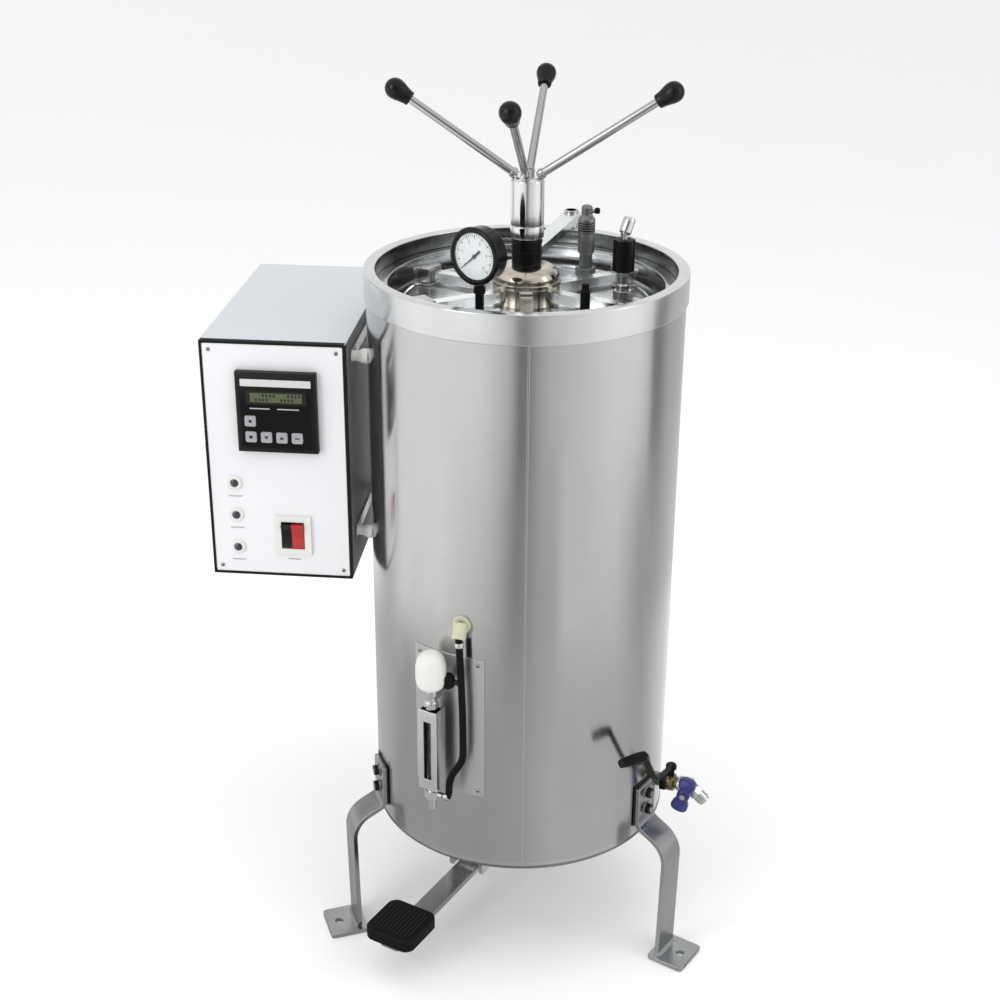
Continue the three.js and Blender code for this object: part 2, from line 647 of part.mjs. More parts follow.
function drainOutlet(mount) {
  const alongX = (geometry, x) => geometry.rotateY(Math.PI / 2).translate(x, 0, 0);
  const elbow = new THREE.Vector3(WING_RADIUS + 2, 0, 0);
  const droop = new THREE.Vector3(Math.cos(rad(TAIL_DROOP)), 0, -Math.sin(rad(TAIL_DROOP)));
  const tailAt = (geometry) => along(geometry, elbow, elbow.clone().add(droop));
  const body = join(
    alongX(cylinder(10, 0, 7), OUTLET_START),
    alongX(prism(hexagon(22), 4, 9), OUTLET_START),
    alongX(cylinder(11.5, 8, 20), OUTLET_START),
    tailAt(prism(hexagon(18), 6, 14)),
    tailAt(cylinder(8.5, 0, TAIL_LENGTH)),
    rod(new THREE.Vector3(WING_RADIUS, 0, 0), new THREE.Vector3(WING_RADIUS, -WING_FACE + GAP, 0), 5),
  );
  const bore = tailAt(cylinder(6.5, 8, TAIL_LENGTH + 2));
  add('outlet_valve_body', cut(body, bore), satin, mount);

  const wing = new THREE.Shape();
  wing.moveTo(-6, 0);
  wing.bezierCurveTo(-7, 9, -12, 13, -11, 21);
  wing.bezierCurveTo(-7, 26, 7, 26, 11, 21);
  wing.bezierCurveTo(12, 13, 7, 9, 6, 0);
  wing.bezierCurveTo(7, -9, 12, -13, 11, -21);
  wing.bezierCurveTo(7, -26, -7, -26, -11, -21);
  wing.bezierCurveTo(-12, -13, -7, -9, -6, 0);
  const handle = prism(wing, 0, 9, 4).rotateX(Math.PI / 2);
  const mesh = add('outlet_wing', handle, bluePlastic, mount);
  mesh.position.set(WING_RADIUS, -WING_FACE, 0);
  mesh.rotation.y = rad(15);
}

// ---- pedal and lid lift ----
function leverFrame() {
  const end = around(ROD_AZIMUTH, ROD_ORBIT);
  const direction = new THREE.Vector3(end.x - PAD_CENTRE[0], end.y - PAD_CENTRE[1], 0);
  const length = direction.length();
  direction.normalize();
  const pivot = new THREE.Vector3(
    PAD_CENTRE[0] + direction.x * PIVOT_FROM_PAD,
    PAD_CENTRE[1] + direction.y * PIVOT_FROM_PAD,
    PIVOT_Z,
  );
  return { pivot, turn: Math.atan2(direction.y, direction.x), rear: length - PIVOT_FROM_PAD };
}

function pedal() {
  const frame = leverFrame();
  const group = new THREE.Group();
  group.position.copy(frame.pivot);
  group.rotation.z = frame.turn;
  vessel.add(group);

  const barTop = PAD_TOP - PAD_THICKNESS - GAP - PIVOT_Z;
  const side = LEVER_WIDTH / 2;
  const bar = box(-PIVOT_FROM_PAD - 28, frame.rear + 4, -side, side, barTop - LEVER_THICKNESS, barTop);
  const boss = rod(new THREE.Vector3(0, -19, 0), new THREE.Vector3(0, 19, 0), 12, ROUND);
  const bore = rod(new THREE.Vector3(0, -30, 0), new THREE.Vector3(0, 30, 0), PIVOT_PIN_RADIUS + 0.5, ROUND);
  const roller = rod(new THREE.Vector3(frame.rear, -12, 0), new THREE.Vector3(frame.rear, 12, 0), 8, ROUND);
  add('pedal_lever', cut(join(bar, boss, roller), bore), satin, group);

  const half = PAD_SIZE / 2;
  const flat = half - PAD_CORNER;
  const outline = polygon([
    [-flat, -half], [flat, -half], [half, -flat], [half, flat], [flat, half], [-flat, half], [-half, flat],
    [-half, -flat],
  ]);
  const pad = prism(outline, 0, PAD_THICKNESS).translate(-PIVOT_FROM_PAD, 0, barTop + GAP);
  add('pedal_pad', pad, rubber, group);
}

function liftGuide() {
  const mount = radial(ROD_AZIMUTH);
  const sleeve = tube(ROD_RADIUS + 0.5, 12.5, 140, 845).translate(ROD_ORBIT, 0, 0);
  const clamps = [230, 810].map((z) => box(SHELL_RADIUS + 0.6, ROD_ORBIT, -16, 16, z - 14, z + 14));
  const bore = cylinder(ROD_RADIUS + 0.5, 130, 860).translate(ROD_ORBIT, 0, 0);
  add('lift_guide', cut(join(sleeve, ...clamps), bore), satin, mount);
}

function liftFrame() {
  const mount = radial(ROD_AZIMUTH);
  const shaft = cylinder(ROD_RADIUS, ROD_FOOT_Z + 4, ARM_TOP + 3).translate(ROD_ORBIT, 0, 0);
  const foot = cylinder(15, ROD_FOOT_Z, ROD_FOOT_Z + 6).translate(ROD_ORBIT, 0, 0);
  const arm = box(15, ROD_ORBIT + 12, -11, 11, ARM_BOTTOM, ARM_TOP);
  const collar = cylinder(COLLAR_RADIUS, ARM_BOTTOM, COLLAR_TOP, ROUND);
  const sleeve = cylinder(COLUMN_RADIUS, COLLAR_TOP - 1, SLEEVE_TOP, ROUND);
  const bore = cylinder(SPINDLE_RADIUS + 0.4, ARM_BOTTOM - 5, SLEEVE_TOP + 5);
  add('lift_frame', cut(join(shaft, foot, arm, collar, sleeve), bore), chrome, mount);
}

// ---- lid ----
function boltAzimuth(k) {
  return LID_TURN + k * 360 / BOLT_COUNT;
}

const STEM_AZIMUTHS = { gauge: -25, post: 42, steam: 97, safety: 148 };
const STEM_ORBITS = { gauge: 106, post: 108, steam: 113, safety: 122 };

function lidPlate() {
  const plate = lathe([
    [0, LID_BOTTOM], [LID_RADIUS - 1, LID_BOTTOM], [LID_RADIUS, LID_BOTTOM + 1],
    [LID_RADIUS, LID_TOP - 1.5], [LID_RADIUS - 1.5, LID_TOP], [0, LID_TOP],
  ], FINE);
  const housing = tube(HUB_BORE, HUB_RADIUS, LID_TOP - 1, HUB_TOP, 24);
  const pieces = [housing];
  const windows = [];
  for (let k = 0; k < BOLT_COUNT; k += 1) {
    const turn = rad(boltAzimuth(k) - 90);
    const half = BOLT_WIDTH / 2;
    pieces.push(box(126, 142, -half - 7, half + 7, LID_TOP - 1, BOLT_TOP + 5).rotateZ(turn));
    const window = box(HUB_BORE - 6, 150, -half - 0.5, half + 0.5, BOLT_BOTTOM - 0.5, BOLT_TOP + 0.5);
    windows.push(window.rotateZ(turn));
  }
  add('lid_plate', cut(join(plate, ...pieces), ...windows), stainless);
  const gasket = tube(CHAMBER_RADIUS + 1, LID_RADIUS - 1, FLANGE_TOP + GAP, LID_BOTTOM - GAP, FINE);
  add('lid_gasket', gasket, silicone);
}

function hubCover() {
  const bell = [];
  for (let k = 0; k <= 5; k += 1) {
    const t = k / 5 * Math.PI / 2;
    bell.push([
      BELL_TOP_RADIUS + (HUB_RADIUS - BELL_TOP_RADIUS) * Math.cos(t),
      HUB_TOP + 3 + (BELL_TOP - HUB_TOP - 3) * Math.sin(t),
    ]);
  }
  add('hub_cover', ring([
    [HUB_RADIUS, HUB_TOP + GAP], ...bell,
    [SPINDLE_RADIUS + 0.6, BELL_TOP], [SPINDLE_RADIUS + 0.6, HUB_TOP + GAP],
  ], 24), bronze);
}

// the cam disc has one spiral slot for each bolt pin: pin radius grows evenly with the angle turned
function camDisc() {
  const disc = new THREE.Shape().absarc(0, 0, CAM_RADIUS, 0, 2 * Math.PI);
  const half = PIN_RADIUS + PIN_PLAY;
  const steps = 5;
  for (let k = 0; k < BOLT_COUNT; k += 1) {
    const pinAngle = rad(boltAzimuth(k) - 90);
    const centre = (t) => {
      const angle = pinAngle - rad(CAM_TURN) * t;
      const radius = PIN_START + BOLT_STROKE * t;
      return new THREE.Vector2(radius * Math.cos(angle), radius * Math.sin(angle));
    };
    const inner = [];
    const outer = [];
    for (let i = 0; i <= steps; i += 1) {
      const here = centre(i / steps);
      const ahead = centre(i / steps + 0.01).sub(centre(i / steps - 0.01)).normalize();
      const side = new THREE.Vector2(-ahead.y, ahead.x).multiplyScalar(half);
      inner.push(here.clone().sub(side));
      outer.push(here.clone().add(side));
    }
    const startBack = centre(-0.1).sub(centre(0)).normalize().multiplyScalar(half);
    const endAhead = centre(1.1).sub(centre(1)).normalize().multiplyScalar(half);
    inner.unshift(inner[0].clone().add(startBack));
    outer.unshift(outer[0].clone().add(startBack));
    inner.push(inner[inner.length - 1].clone().add(endAhead));
    outer.push(outer[outer.length - 1].clone().add(endAhead));
    disc.holes.push(new THREE.Path([...inner, ...outer.reverse()]));
  }
  return prism(disc, BOLT_TOP + 0.5, BOLT_TOP + 0.5 + CAM_THICKNESS, 12);
}

function capstan() {
  const shaft = cylinder(SPINDLE_RADIUS, BOLT_TOP + CAM_THICKNESS, SLEEVE_TOP + 30);
  add('spindle', join(camDisc(), shaft), satin);

  const column = lathe([
    [0, SLEEVE_TOP + 30 + GAP], [SPINDLE_RADIUS + GAP, SLEEVE_TOP + 30 + GAP],
    [SPINDLE_RADIUS + GAP, SLEEVE_TOP + GAP], [COLUMN_RADIUS, SLEEVE_TOP + GAP],
    [COLUMN_RADIUS, HEAD_TOP - 3], [COLUMN_RADIUS - 3, HEAD_TOP], [0, HEAD_TOP + 1],
  ]);
  const root = new THREE.Vector3(0, 0, SPOKE_ROOT);
  const spokes = SPOKE_TIPS.map(([reach, rise], k) => {
    const knobCentre = around(SPOKE_TURN + 90 * k, reach, SPOKE_ROOT + rise);
    const outward = knobCentre.clone().sub(root).normalize();
    const knobStart = knobCentre.clone().addScaledVector(outward, -KNOB_LENGTH / 2);
    add(`spoke_knob_${k + 1}`, along(knob(), knobStart, knobCentre), blackPlastic);
    const from = root.clone().addScaledVector(outward, 8);
    return rod(from, knobStart.clone().addScaledVector(outward, KNOB_GRIP), SPOKE_RADIUS);
  });
  add('capstan_head', join(column, ...spokes), chrome);
}

// an egg-shaped grip with a blind bore in its narrow end
function knob() {
  const bore = SPOKE_RADIUS + GAP;
  const widest = KNOB_LENGTH * 0.64;
  const depth = KNOB_GRIP + GAP;
  const outline = [[0, depth], [bore, depth], [bore, 0], [KNOB_NECK - 1, 0], [KNOB_NECK, 1.5]];
  for (let k = 1; k <= 3; k += 1) {
    const swell = (1 - Math.cos(k / 3 * Math.PI)) / 2;
    outline.push([KNOB_NECK + (KNOB_RADIUS - KNOB_NECK) * swell, 1.5 + (widest - 1.5) * k / 3]);
  }
  for (let k = 1; k <= 4; k += 1) {
    const t = k / 4 * Math.PI / 2;
    outline.push([KNOB_RADIUS * Math.cos(t), widest + (KNOB_LENGTH - widest) * Math.sin(t)]);
  }
  outline[outline.length - 1][0] = 0;
  return lathe(outline, 12);
}

function lockBolts() {
  for (let k = 0; k < BOLT_COUNT; k += 1) {
    const half = BOLT_WIDTH / 2;
    const tongue = BOLT_TONGUE / 2;
    const outline = polygon([
      [BOLT_ROOT, -tongue], [BOLT_SHOULDER, -tongue], [BOLT_SHOULDER + 4, -half], [BOLT_REACH - 4, -half],
      [BOLT_REACH, -half + 4], [BOLT_REACH, half - 4], [BOLT_REACH - 4, half], [BOLT_SHOULDER + 4, half],
      [BOLT_SHOULDER, tongue], [BOLT_ROOT, tongue],
    ]);
    const bar = prism(outline, BOLT_BOTTOM, BOLT_TOP);
    const pin = cylinder(PIN_RADIUS, BOLT_TOP - 2, BOLT_TOP + 4.5, SMALL).translate(PIN_START, 0, 0);
    add(`lock_bolt_${k + 1}`, join(bar, pin), satin, radial(boltAzimuth(k)));
  }
}

const DIAL_Z = 925.5;
const DIAL_RADIUS = 34.5;
const DIAL_DEPTH = 26;
const DIAL_FACING = -31;
const NEEDLE_REST = -132;

function pressureGauge() {
  const place = around(STEM_AZIMUTHS.gauge, STEM_ORBITS.gauge, DIAL_Z);
  const mount = new THREE.Group();
  mount.position.copy(place);
  mount.rotation.z = rad(DIAL_FACING);
  vessel.add(mount);
  const cup = lathe([
    [0, -DIAL_DEPTH / 2], [DIAL_RADIUS - 3, -DIAL_DEPTH / 2], [DIAL_RADIUS - 2, -DIAL_DEPTH / 2 + 2],
    [DIAL_RADIUS - 2, DIAL_DEPTH / 2 - 6], [DIAL_RADIUS, DIAL_DEPTH / 2 - 5], [DIAL_RADIUS, DIAL_DEPTH / 2],
    [DIAL_RADIUS - 3.5, DIAL_DEPTH / 2], [DIAL_RADIUS - 3.5, DIAL_DEPTH / 2 - 5], [0, DIAL_DEPTH / 2 - 5],
  ], 32).rotateX(Math.PI / 2);
  const stem = cylinder(5, LID_TOP + GAP - DIAL_Z, -DIAL_RADIUS + 6, SMALL);
  const nut = prism(hexagon(16), LID_TOP + GAP - DIAL_Z, LID_TOP + 12 - DIAL_Z);
  add('pressure_gauge', join(cup, stem, nut), blackPlastic, mount);

  const hand = polygon([[-2.6, -13], [2.6, -13], [1.4, 0], [0.6, 25], [-0.6, 25], [-1.4, 0]]);
  const pointer = prism(hand, 0, 0.9).rotateX(Math.PI / 2);
  const mesh = add('gauge_pointer', pointer, blackPlastic, mount);
  mesh.position.y = -DIAL_DEPTH / 2 + 5 - 1.2;
  mesh.rotation.y = rad(NEEDLE_REST);
}

function sensorPost() {
  const place = around(STEM_AZIMUTHS.post, STEM_ORBITS.post);
  const post = lathe([
    [0, LID_TOP + GAP], [8.5, LID_TOP + GAP], [8.5, LID_TOP + 9], [6, LID_TOP + 10], [6, RIM_TOP + 2],
    [4.5, RIM_TOP + 5], [0, RIM_TOP + 5],
  ], SMALL);
  add('sensor_post', post, blackPlastic).position.set(place.x, place.y, 0);
}

const STEAM_KNOB_BOTTOM = 881;
const STEAM_KNOB_TOP = 919;

function steamValve() {
  const mount = radial(STEM_AZIMUTHS.steam, STEM_ORBITS.steam);
  const stem = join(
    prism(hexagon(20), LID_TOP + GAP, LID_TOP + 12),
    cylinder(7.5, LID_TOP + 11, STEAM_KNOB_BOTTOM - 0.5, SMALL),
    cylinder(4.5, STEAM_KNOB_BOTTOM - 2, STEAM_KNOB_TOP + 8, SMALL),
    rod(new THREE.Vector3(0, 0, STEAM_KNOB_TOP + 7), new THREE.Vector3(7, 3, STEAM_KNOB_TOP + 27), 7.5),
  );
  add('steam_valve_body', stem, satin, mount);
  const grip = new THREE.Shape();
  const lobes = 6;
  for (let i = 0; i < 36; i += 1) {
    const angle = i / 36 * 2 * Math.PI;
    const radius = 12 + 1.1 * Math.cos(lobes * angle);
    grip[i ? 'lineTo' : 'moveTo'](radius * Math.cos(angle), radius * Math.sin(angle));
  }
  grip.holes.push(new THREE.Path().absarc(0, 0, 4.9, 0, 2 * Math.PI));
  add('steam_valve_knob', prism(grip, STEAM_KNOB_BOTTOM, STEAM_KNOB_TOP - 0.5, 6), blackPlastic, mount);
}

function safetyValve() {
  const mount = radial(STEM_AZIMUTHS.safety, STEM_ORBITS.safety);
  const bonnet = 901;
  const body = join(
    prism(hexagon(22), LID_TOP + GAP, LID_TOP + 12),
    cylinder(8, LID_TOP + 11, 880, SMALL),
    cylinder(10.5, 878, bonnet, ROUND),
    cylinder(3, bonnet - 1, bonnet + 10, SMALL),
  );
  add('safety_valve_body', body, satin, mount);
  const cap = join(
    cylinder(10.5, bonnet + 0.5, bonnet + 20, ROUND),
    cylinder(7, bonnet + 19, bonnet + 34, ROUND),
    rod(new THREE.Vector3(0, 0, bonnet + 26), new THREE.Vector3(0, -18, bonnet + 30), 3.5),
  );
  const well = cylinder(3.4, bonnet - 2, bonnet + 16, SMALL);
  add('safety_valve_cap', cut(cap, well), satin, mount);
}

// ---- assembly ----
outerShell();
rimBand();
lockingRing();
chamber();
bottomCover();
insulation();
heatingElement();
loadBasket();
legs();
controlHousing();
frontPanel();
controller();
powerSwitch();
powerModule();
standoffs();
gaugePlate();
levelGauge();
gaugeHose();
drainValve(radial(DRAIN_AZIMUTH, 0, DRAIN_Z));
drainOutlet(radial(DRAIN_AZIMUTH, 0, DRAIN_Z));
pedal();
liftGuide();
liftFrame();
lidPlate();
hubCover();
capstan();
lockBolts();
pressureGauge();
sensorPost();
steamValve();
safetyValve();

autoclave.updateMatrixWorld(true);
const extent = new THREE.Box3().setFromObject(autoclave, true);
const middle = extent.getCenter(new THREE.Vector3());
vessel.position.set(-middle.x, -middle.y, -extent.min.z);

export default autoclave;
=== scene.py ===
"""Looks of the vertical autoclave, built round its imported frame.

Lengths below are millimetres measured from the vessel's axis on the floor, and azimuths are degrees from -Y
towards +X. The helpers turn both into the frame's metres.
"""

import json
import math

import bmesh
import bpy
from mathutils import Matrix, Vector, noise


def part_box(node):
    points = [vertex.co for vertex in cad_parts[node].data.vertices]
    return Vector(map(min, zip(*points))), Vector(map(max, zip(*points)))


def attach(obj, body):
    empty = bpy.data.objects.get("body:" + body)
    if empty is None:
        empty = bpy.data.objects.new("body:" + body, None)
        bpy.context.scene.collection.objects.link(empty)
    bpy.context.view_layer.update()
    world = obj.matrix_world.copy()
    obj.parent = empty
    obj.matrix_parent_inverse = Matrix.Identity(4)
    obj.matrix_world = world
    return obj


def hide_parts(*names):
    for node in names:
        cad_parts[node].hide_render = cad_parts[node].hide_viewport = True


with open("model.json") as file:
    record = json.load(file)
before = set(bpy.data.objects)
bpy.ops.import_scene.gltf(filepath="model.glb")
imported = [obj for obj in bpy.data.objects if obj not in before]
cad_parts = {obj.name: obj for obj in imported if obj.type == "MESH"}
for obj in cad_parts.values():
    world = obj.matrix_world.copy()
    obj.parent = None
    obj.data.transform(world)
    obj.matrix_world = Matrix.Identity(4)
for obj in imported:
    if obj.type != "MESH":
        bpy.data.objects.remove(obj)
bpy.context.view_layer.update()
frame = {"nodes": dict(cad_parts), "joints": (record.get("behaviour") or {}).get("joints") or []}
JOINTS = {joint["name"]: joint for joint in frame["joints"]}
MM = 0.001

# ---- places taken from the frame ----
_low, _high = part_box("outer_shell")
AXIS = Vector(((_low.x + _high.x) / 2, (_low.y + _high.y) / 2, 0))


def local_box(node):
    low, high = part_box(node)
    return (low - AXIS) / MM, (high - AXIS) / MM


def local_point(joint):
    return (Vector(JOINTS[joint]["pos_m"]) - AXIS) / MM


def azimuth_of(vector):
    return math.degrees(math.atan2(vector[0], -vector[1]))


def around(azimuth, radius, z=0.0):
    angle = math.radians(azimuth)
    return Vector((radius * math.sin(angle), -radius * math.cos(angle), z))


SHELL_LOW, SHELL_HIGH = local_box("outer_shell")
SHELL_RADIUS = (SHELL_HIGH.x - SHELL_LOW.x) / 2
RIM_LOW, RIM_HIGH = local_box("rim_band")
RIM_RADIUS = (RIM_HIGH.x - RIM_LOW.x) / 2
RIM_TOP = RIM_HIGH.z
RIM_BOTTOM = RIM_LOW.z


# ---- transforms ----
def rotated(degrees, axis):
    return Matrix.Rotation(math.radians(degrees), 4, axis)


def turned(azimuth, radius=0.0, z=0.0):
    """Local +X points outwards at the azimuth, +Y towards growing azimuth, +Z up."""
    place = around(azimuth, radius, z)
    return Matrix.Translation(place) @ rotated(azimuth - 90, "Z")


def pointing(start, end):
    """Local +Z runs from start towards end."""
    start, end = Vector(start), Vector(end)
    return Matrix.Translation(start) @ (end - start).to_track_quat("Z", "Y").to_matrix().to_4x4()


FACE_OUT = rotated(90, "X")
LIE_OUT = rotated(90, "Y")


# ---- mesh helpers ----
def build(name, bm, material, matrix=Matrix(), crease=32, bevel=0.0, segments=2):
    """Scales the bmesh from millimetres, marks its sharp edges and links it as an object."""
    bmesh.ops.remove_doubles(bm, verts=bm.verts, dist=1e-4)
    bmesh.ops.recalc_face_normals(bm, faces=bm.faces)
    bm.transform(Matrix.Scale(MM, 4))
    limit = math.radians(crease)
    for face in bm.faces:
        face.smooth = True
    for edge in bm.edges:
        edge.smooth = len(edge.link_faces) == 2 and edge.calc_face_angle(0) < limit
    mesh = bpy.data.meshes.new(name)
    bm.to_mesh(mesh)
    bm.free()
    obj = bpy.data.objects.new(name, mesh)
    bpy.context.scene.collection.objects.link(obj)
    mesh.materials.append(material)
    place = matrix.copy()
    place.translation = place.translation * MM
    obj.matrix_world = Matrix.Translation(AXIS) @ place
    if bevel:
        soften_edges(obj, bevel, segments)
    return obj


def settle(obj):
    """Turns the mesh instead of the object, so that the object's own box is its true extent."""
    obj.data.transform(obj.matrix_world)
    obj.matrix_world = Matrix()
    return obj


def soften_edges(obj, width, segments=2, angle=32):
    modifier = obj.modifiers.new("soft_edges", "BEVEL")
    modifier.width = width * MM
    modifier.segments = segments
    modifier.limit_method = "ANGLE"
    modifier.angle_limit = math.radians(angle)
    modifier.harden_normals = True


CORNER_STEPS = 4
BEND_STEPS = 8
PATH_STEPS = 8


def rounded(points, radius, closed=False):
    """The outline with its corners replaced by short curves of about the radius."""
    points = [Vector(p) for p in points]
    count = len(points)
    out = []
    for i, corner in enumerate(points):
        if not closed and i in (0, count - 1):
            out.append(corner)
            continue
        before, after = points[i - 1] - corner, points[(i + 1) % count] - corner
        reach_in = min(radius, before.length * 0.48)
        reach_out = min(radius, after.length * 0.48)
        start = corner + before.normalized() * reach_in
        end = corner + after.normalized() * reach_out
        for k in range(CORNER_STEPS + 1):
            t = k / CORNER_STEPS
            out.append(start * (1 - t) ** 2 + corner * 2 * t * (1 - t) + end * t * t)
    return out


def add_lathe(bm, outline, segments, closed=False):
    rings = []
    for r, z in outline:
        if r < 1e-6:
            rings.append([bm.verts.new((0, 0, z))])
            continue
        ring = []
        for k in range(segments):
            angle = 2 * math.pi * k / segments
            ring.append(bm.verts.new((r * math.cos(angle), r * math.sin(angle), z)))
        rings.append(ring)
    pairs = list(zip(rings, rings[1:]))
    if closed:
        pairs.append((rings[-1], rings[0]))
    for lower, upper in pairs:
        for k in range(segments):
            j = (k + 1) % segments
            corners = [
                lower[k % len(lower)], lower[j % len(lower)], upper[j % len(upper)], upper[k % len(upper)],
            ]
            corners = list(dict.fromkeys(corners))
            if len(corners) > 2:
                bm.faces.new(corners)


def lathe(name, outline, material, matrix=Matrix(), segments=64, soft=0.6, closed=False, crease=32):
    """A turned piece. An open outline starts and ends on the axis; a closed one is a ring."""
    bm = bmesh.new()
    if soft:
        outline = rounded(outline, soft, closed=closed)
    add_lathe(bm, outline, segments, closed)
    return build(name, bm, material, matrix, crease)


def add_prism(bm, outline, bottom, top, matrix=Matrix()):
    low = [bm.verts.new(matrix @ Vector((p[0], p[1], bottom))) for p in outline]
    high = [bm.verts.new(matrix @ Vector((p[0], p[1], top))) for p in outline]
    bm.faces.new(low[::-1])
    bm.faces.new(high)
    for i in range(len(outline)):
        j = (i + 1) % len(outline)
        bm.faces.new([low[i], low[j], high[j], high[i]])


def ring(name, inner, outer, bottom, top, material, matrix=Matrix(), segments=64, soft=0.6):
    outline = [(outer, bottom), (outer, top), (inner, top), (inner, bottom)]
    return lathe(name, outline, material, matrix, segments, soft, closed=True)


def rod(name, radius, bottom, top, material, matrix=Matrix(), segments=64, soft=0.6):
    outline = [(0, bottom), (radius, bottom), (radius, top), (0, top)]
    return lathe(name, outline, material, matrix, segments, soft)


def prism(name, outline, bottom, top, material, matrix=Matrix(), bevel=0.5, segments=2, crease=32):
    bm = bmesh.new()
    add_prism(bm, outline, bottom, top)
    return build(name, bm, material, matrix, crease, bevel, segments)


def rectangle(width, height, x=0.0, y=0.0):
    w, h = width / 2, height / 2
    return [(x - w, y - h), (x + w, y - h), (x + w, y + h), (x - w, y + h)]


def ring_of_points(count, radius):
    turns = [2 * math.pi * k / count for k in range(count)]
    return [(radius * math.cos(turn), radius * math.sin(turn)) for turn in turns]


def soft_rectangle(width, height, radius, x=0.0, y=0.0):
    return rounded(rectangle(width, height, x, y), radius, closed=True)


def hex_nut(name, across_flats, bottom, top, material, matrix=Matrix(), bevel=0.5):
    outline = ring_of_points(6, across_flats / math.sqrt(3))
    return prism(name, outline, bottom, top, material, matrix, bevel)


def smooth_path(points):
    """Points on a Catmull-Rom curve through the given ones."""
    points = [Vector(p) for p in points]
    padded = [points[0] * 2 - points[1], *points, points[-1] * 2 - points[-2]]
    out = []
    for a, b, c, d in zip(padded, padded[1:], padded[2:], padded[3:]):
        for k in range(PATH_STEPS):
            t = k / PATH_STEPS
            out.append((b * 2 + (c - a) * t + (a * 2 - b * 5 + c * 4 - d) * t * t
                        + (b * 3 - a - c * 3 + d) * t ** 3) / 2)
    out.append(points[-1])
    return out


def add_tube(bm, path, radius, sides=20):
    """A round bar with flat ends along a list of points. The radius may depend on the share walked."""
    last = len(path) - 1
    direction = (path[1] - path[0]).normalized()
    side = direction.orthogonal().normalized()
    rings = []
    for i, point in enumerate(path):
        ahead = (path[min(i + 1, last)] - path[max(i - 1, 0)]).normalized()
        side = (side - ahead * side.dot(ahead)).normalized()
        other = ahead.cross(side)
        r = radius(i / last) if callable(radius) else radius
        rings.append([bm.verts.new(point + side * r * math.cos(2 * math.pi * k / sides)
                                   + other * r * math.sin(2 * math.pi * k / sides)) for k in range(sides)])
    for lower, upper in zip(rings, rings[1:]):
        for k in range(sides):
            j = (k + 1) % sides
            bm.faces.new([lower[k], lower[j], upper[j], upper[k]])
    bm.faces.new(rings[0][::-1])
    bm.faces.new(rings[-1])


def tube(name, path, radius, material, matrix=Matrix(), sides=20):
    bm = bmesh.new()
    add_tube(bm, [Vector(p) for p in path], radius, sides)
    return build(name, bm, material, matrix, crease=50)


def fillet(points, radii):
    """A centre line in a plane with each inner corner rounded to its own radius."""
    points = [Vector(p) for p in points]
    out = [points[0]]
    for i in range(1, len(points) - 1):
        corner = points[i]
        before = (points[i - 1] - corner).normalized()
        after = (points[i + 1] - corner).normalized()
        half = before.angle(after) / 2
        reach = radii[i - 1] / math.tan(half)
        centre = corner + (before + after).normalized() * (radii[i - 1] / math.sin(half))
        start = corner + before * reach - centre
        end = corner + after * reach - centre
        sweep = start.angle_signed(end)
        for k in range(BEND_STEPS + 1):
            out.append(centre + Matrix.Rotation(-sweep * k / BEND_STEPS, 2) @ start)
    out.append(points[-1])
    return out


def strip_outline(line, thickness):
    """The outline of a strip of constant thickness about a centre line."""
    left, right = [], []
    for i, point in enumerate(line):
        before = (point - line[i - 1]).normalized() if i else None
        after = (line[i + 1] - point).normalized() if i < len(line) - 1 else None
        a, b = before or after, after or before
        normal = Vector((-(a.y + b.y), a.x + b.x)).normalized()
        reach = thickness / 2 / (normal.x * -a.y + normal.y * a.x)
        left.append(point + normal * reach)
        right.append(point - normal * reach)
    return right + left[::-1]


def carve(obj, *cutters):
    """Cuts the cutters out of the object and removes them."""
    for cutter in cutters:
        modifier = obj.modifiers.new("cut", "BOOLEAN")
        modifier.operation = "DIFFERENCE"
        modifier.solver = "EXACT"
        modifier.object = cutter
    bpy.context.view_layer.update()
    graph = bpy.context.evaluated_depsgraph_get()
    mesh = bpy.data.meshes.new_from_object(obj.evaluated_get(graph))
    obj.modifiers.clear()
    obj.data = mesh
    for cutter in cutters:
        bpy.data.objects.remove(cutter)
    return obj


def piece(obj, body, slot, *replaced):
    """Names the body that the piece moves with and the CAD nodes it stands for. The material slot is not
    used.
    """
    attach(obj, body)
    if replaced:
        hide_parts(*replaced)
    return obj


# ---- materials ----
WORN_POINTINESS = (0.52, 0.6)
COAT_SPREAD = 0.06
COAT_LAYER_ROUGHNESS = 0.08
GLASS_ROUGHNESS = (0.03, 0.09)
GLASS_IOR = 1.45


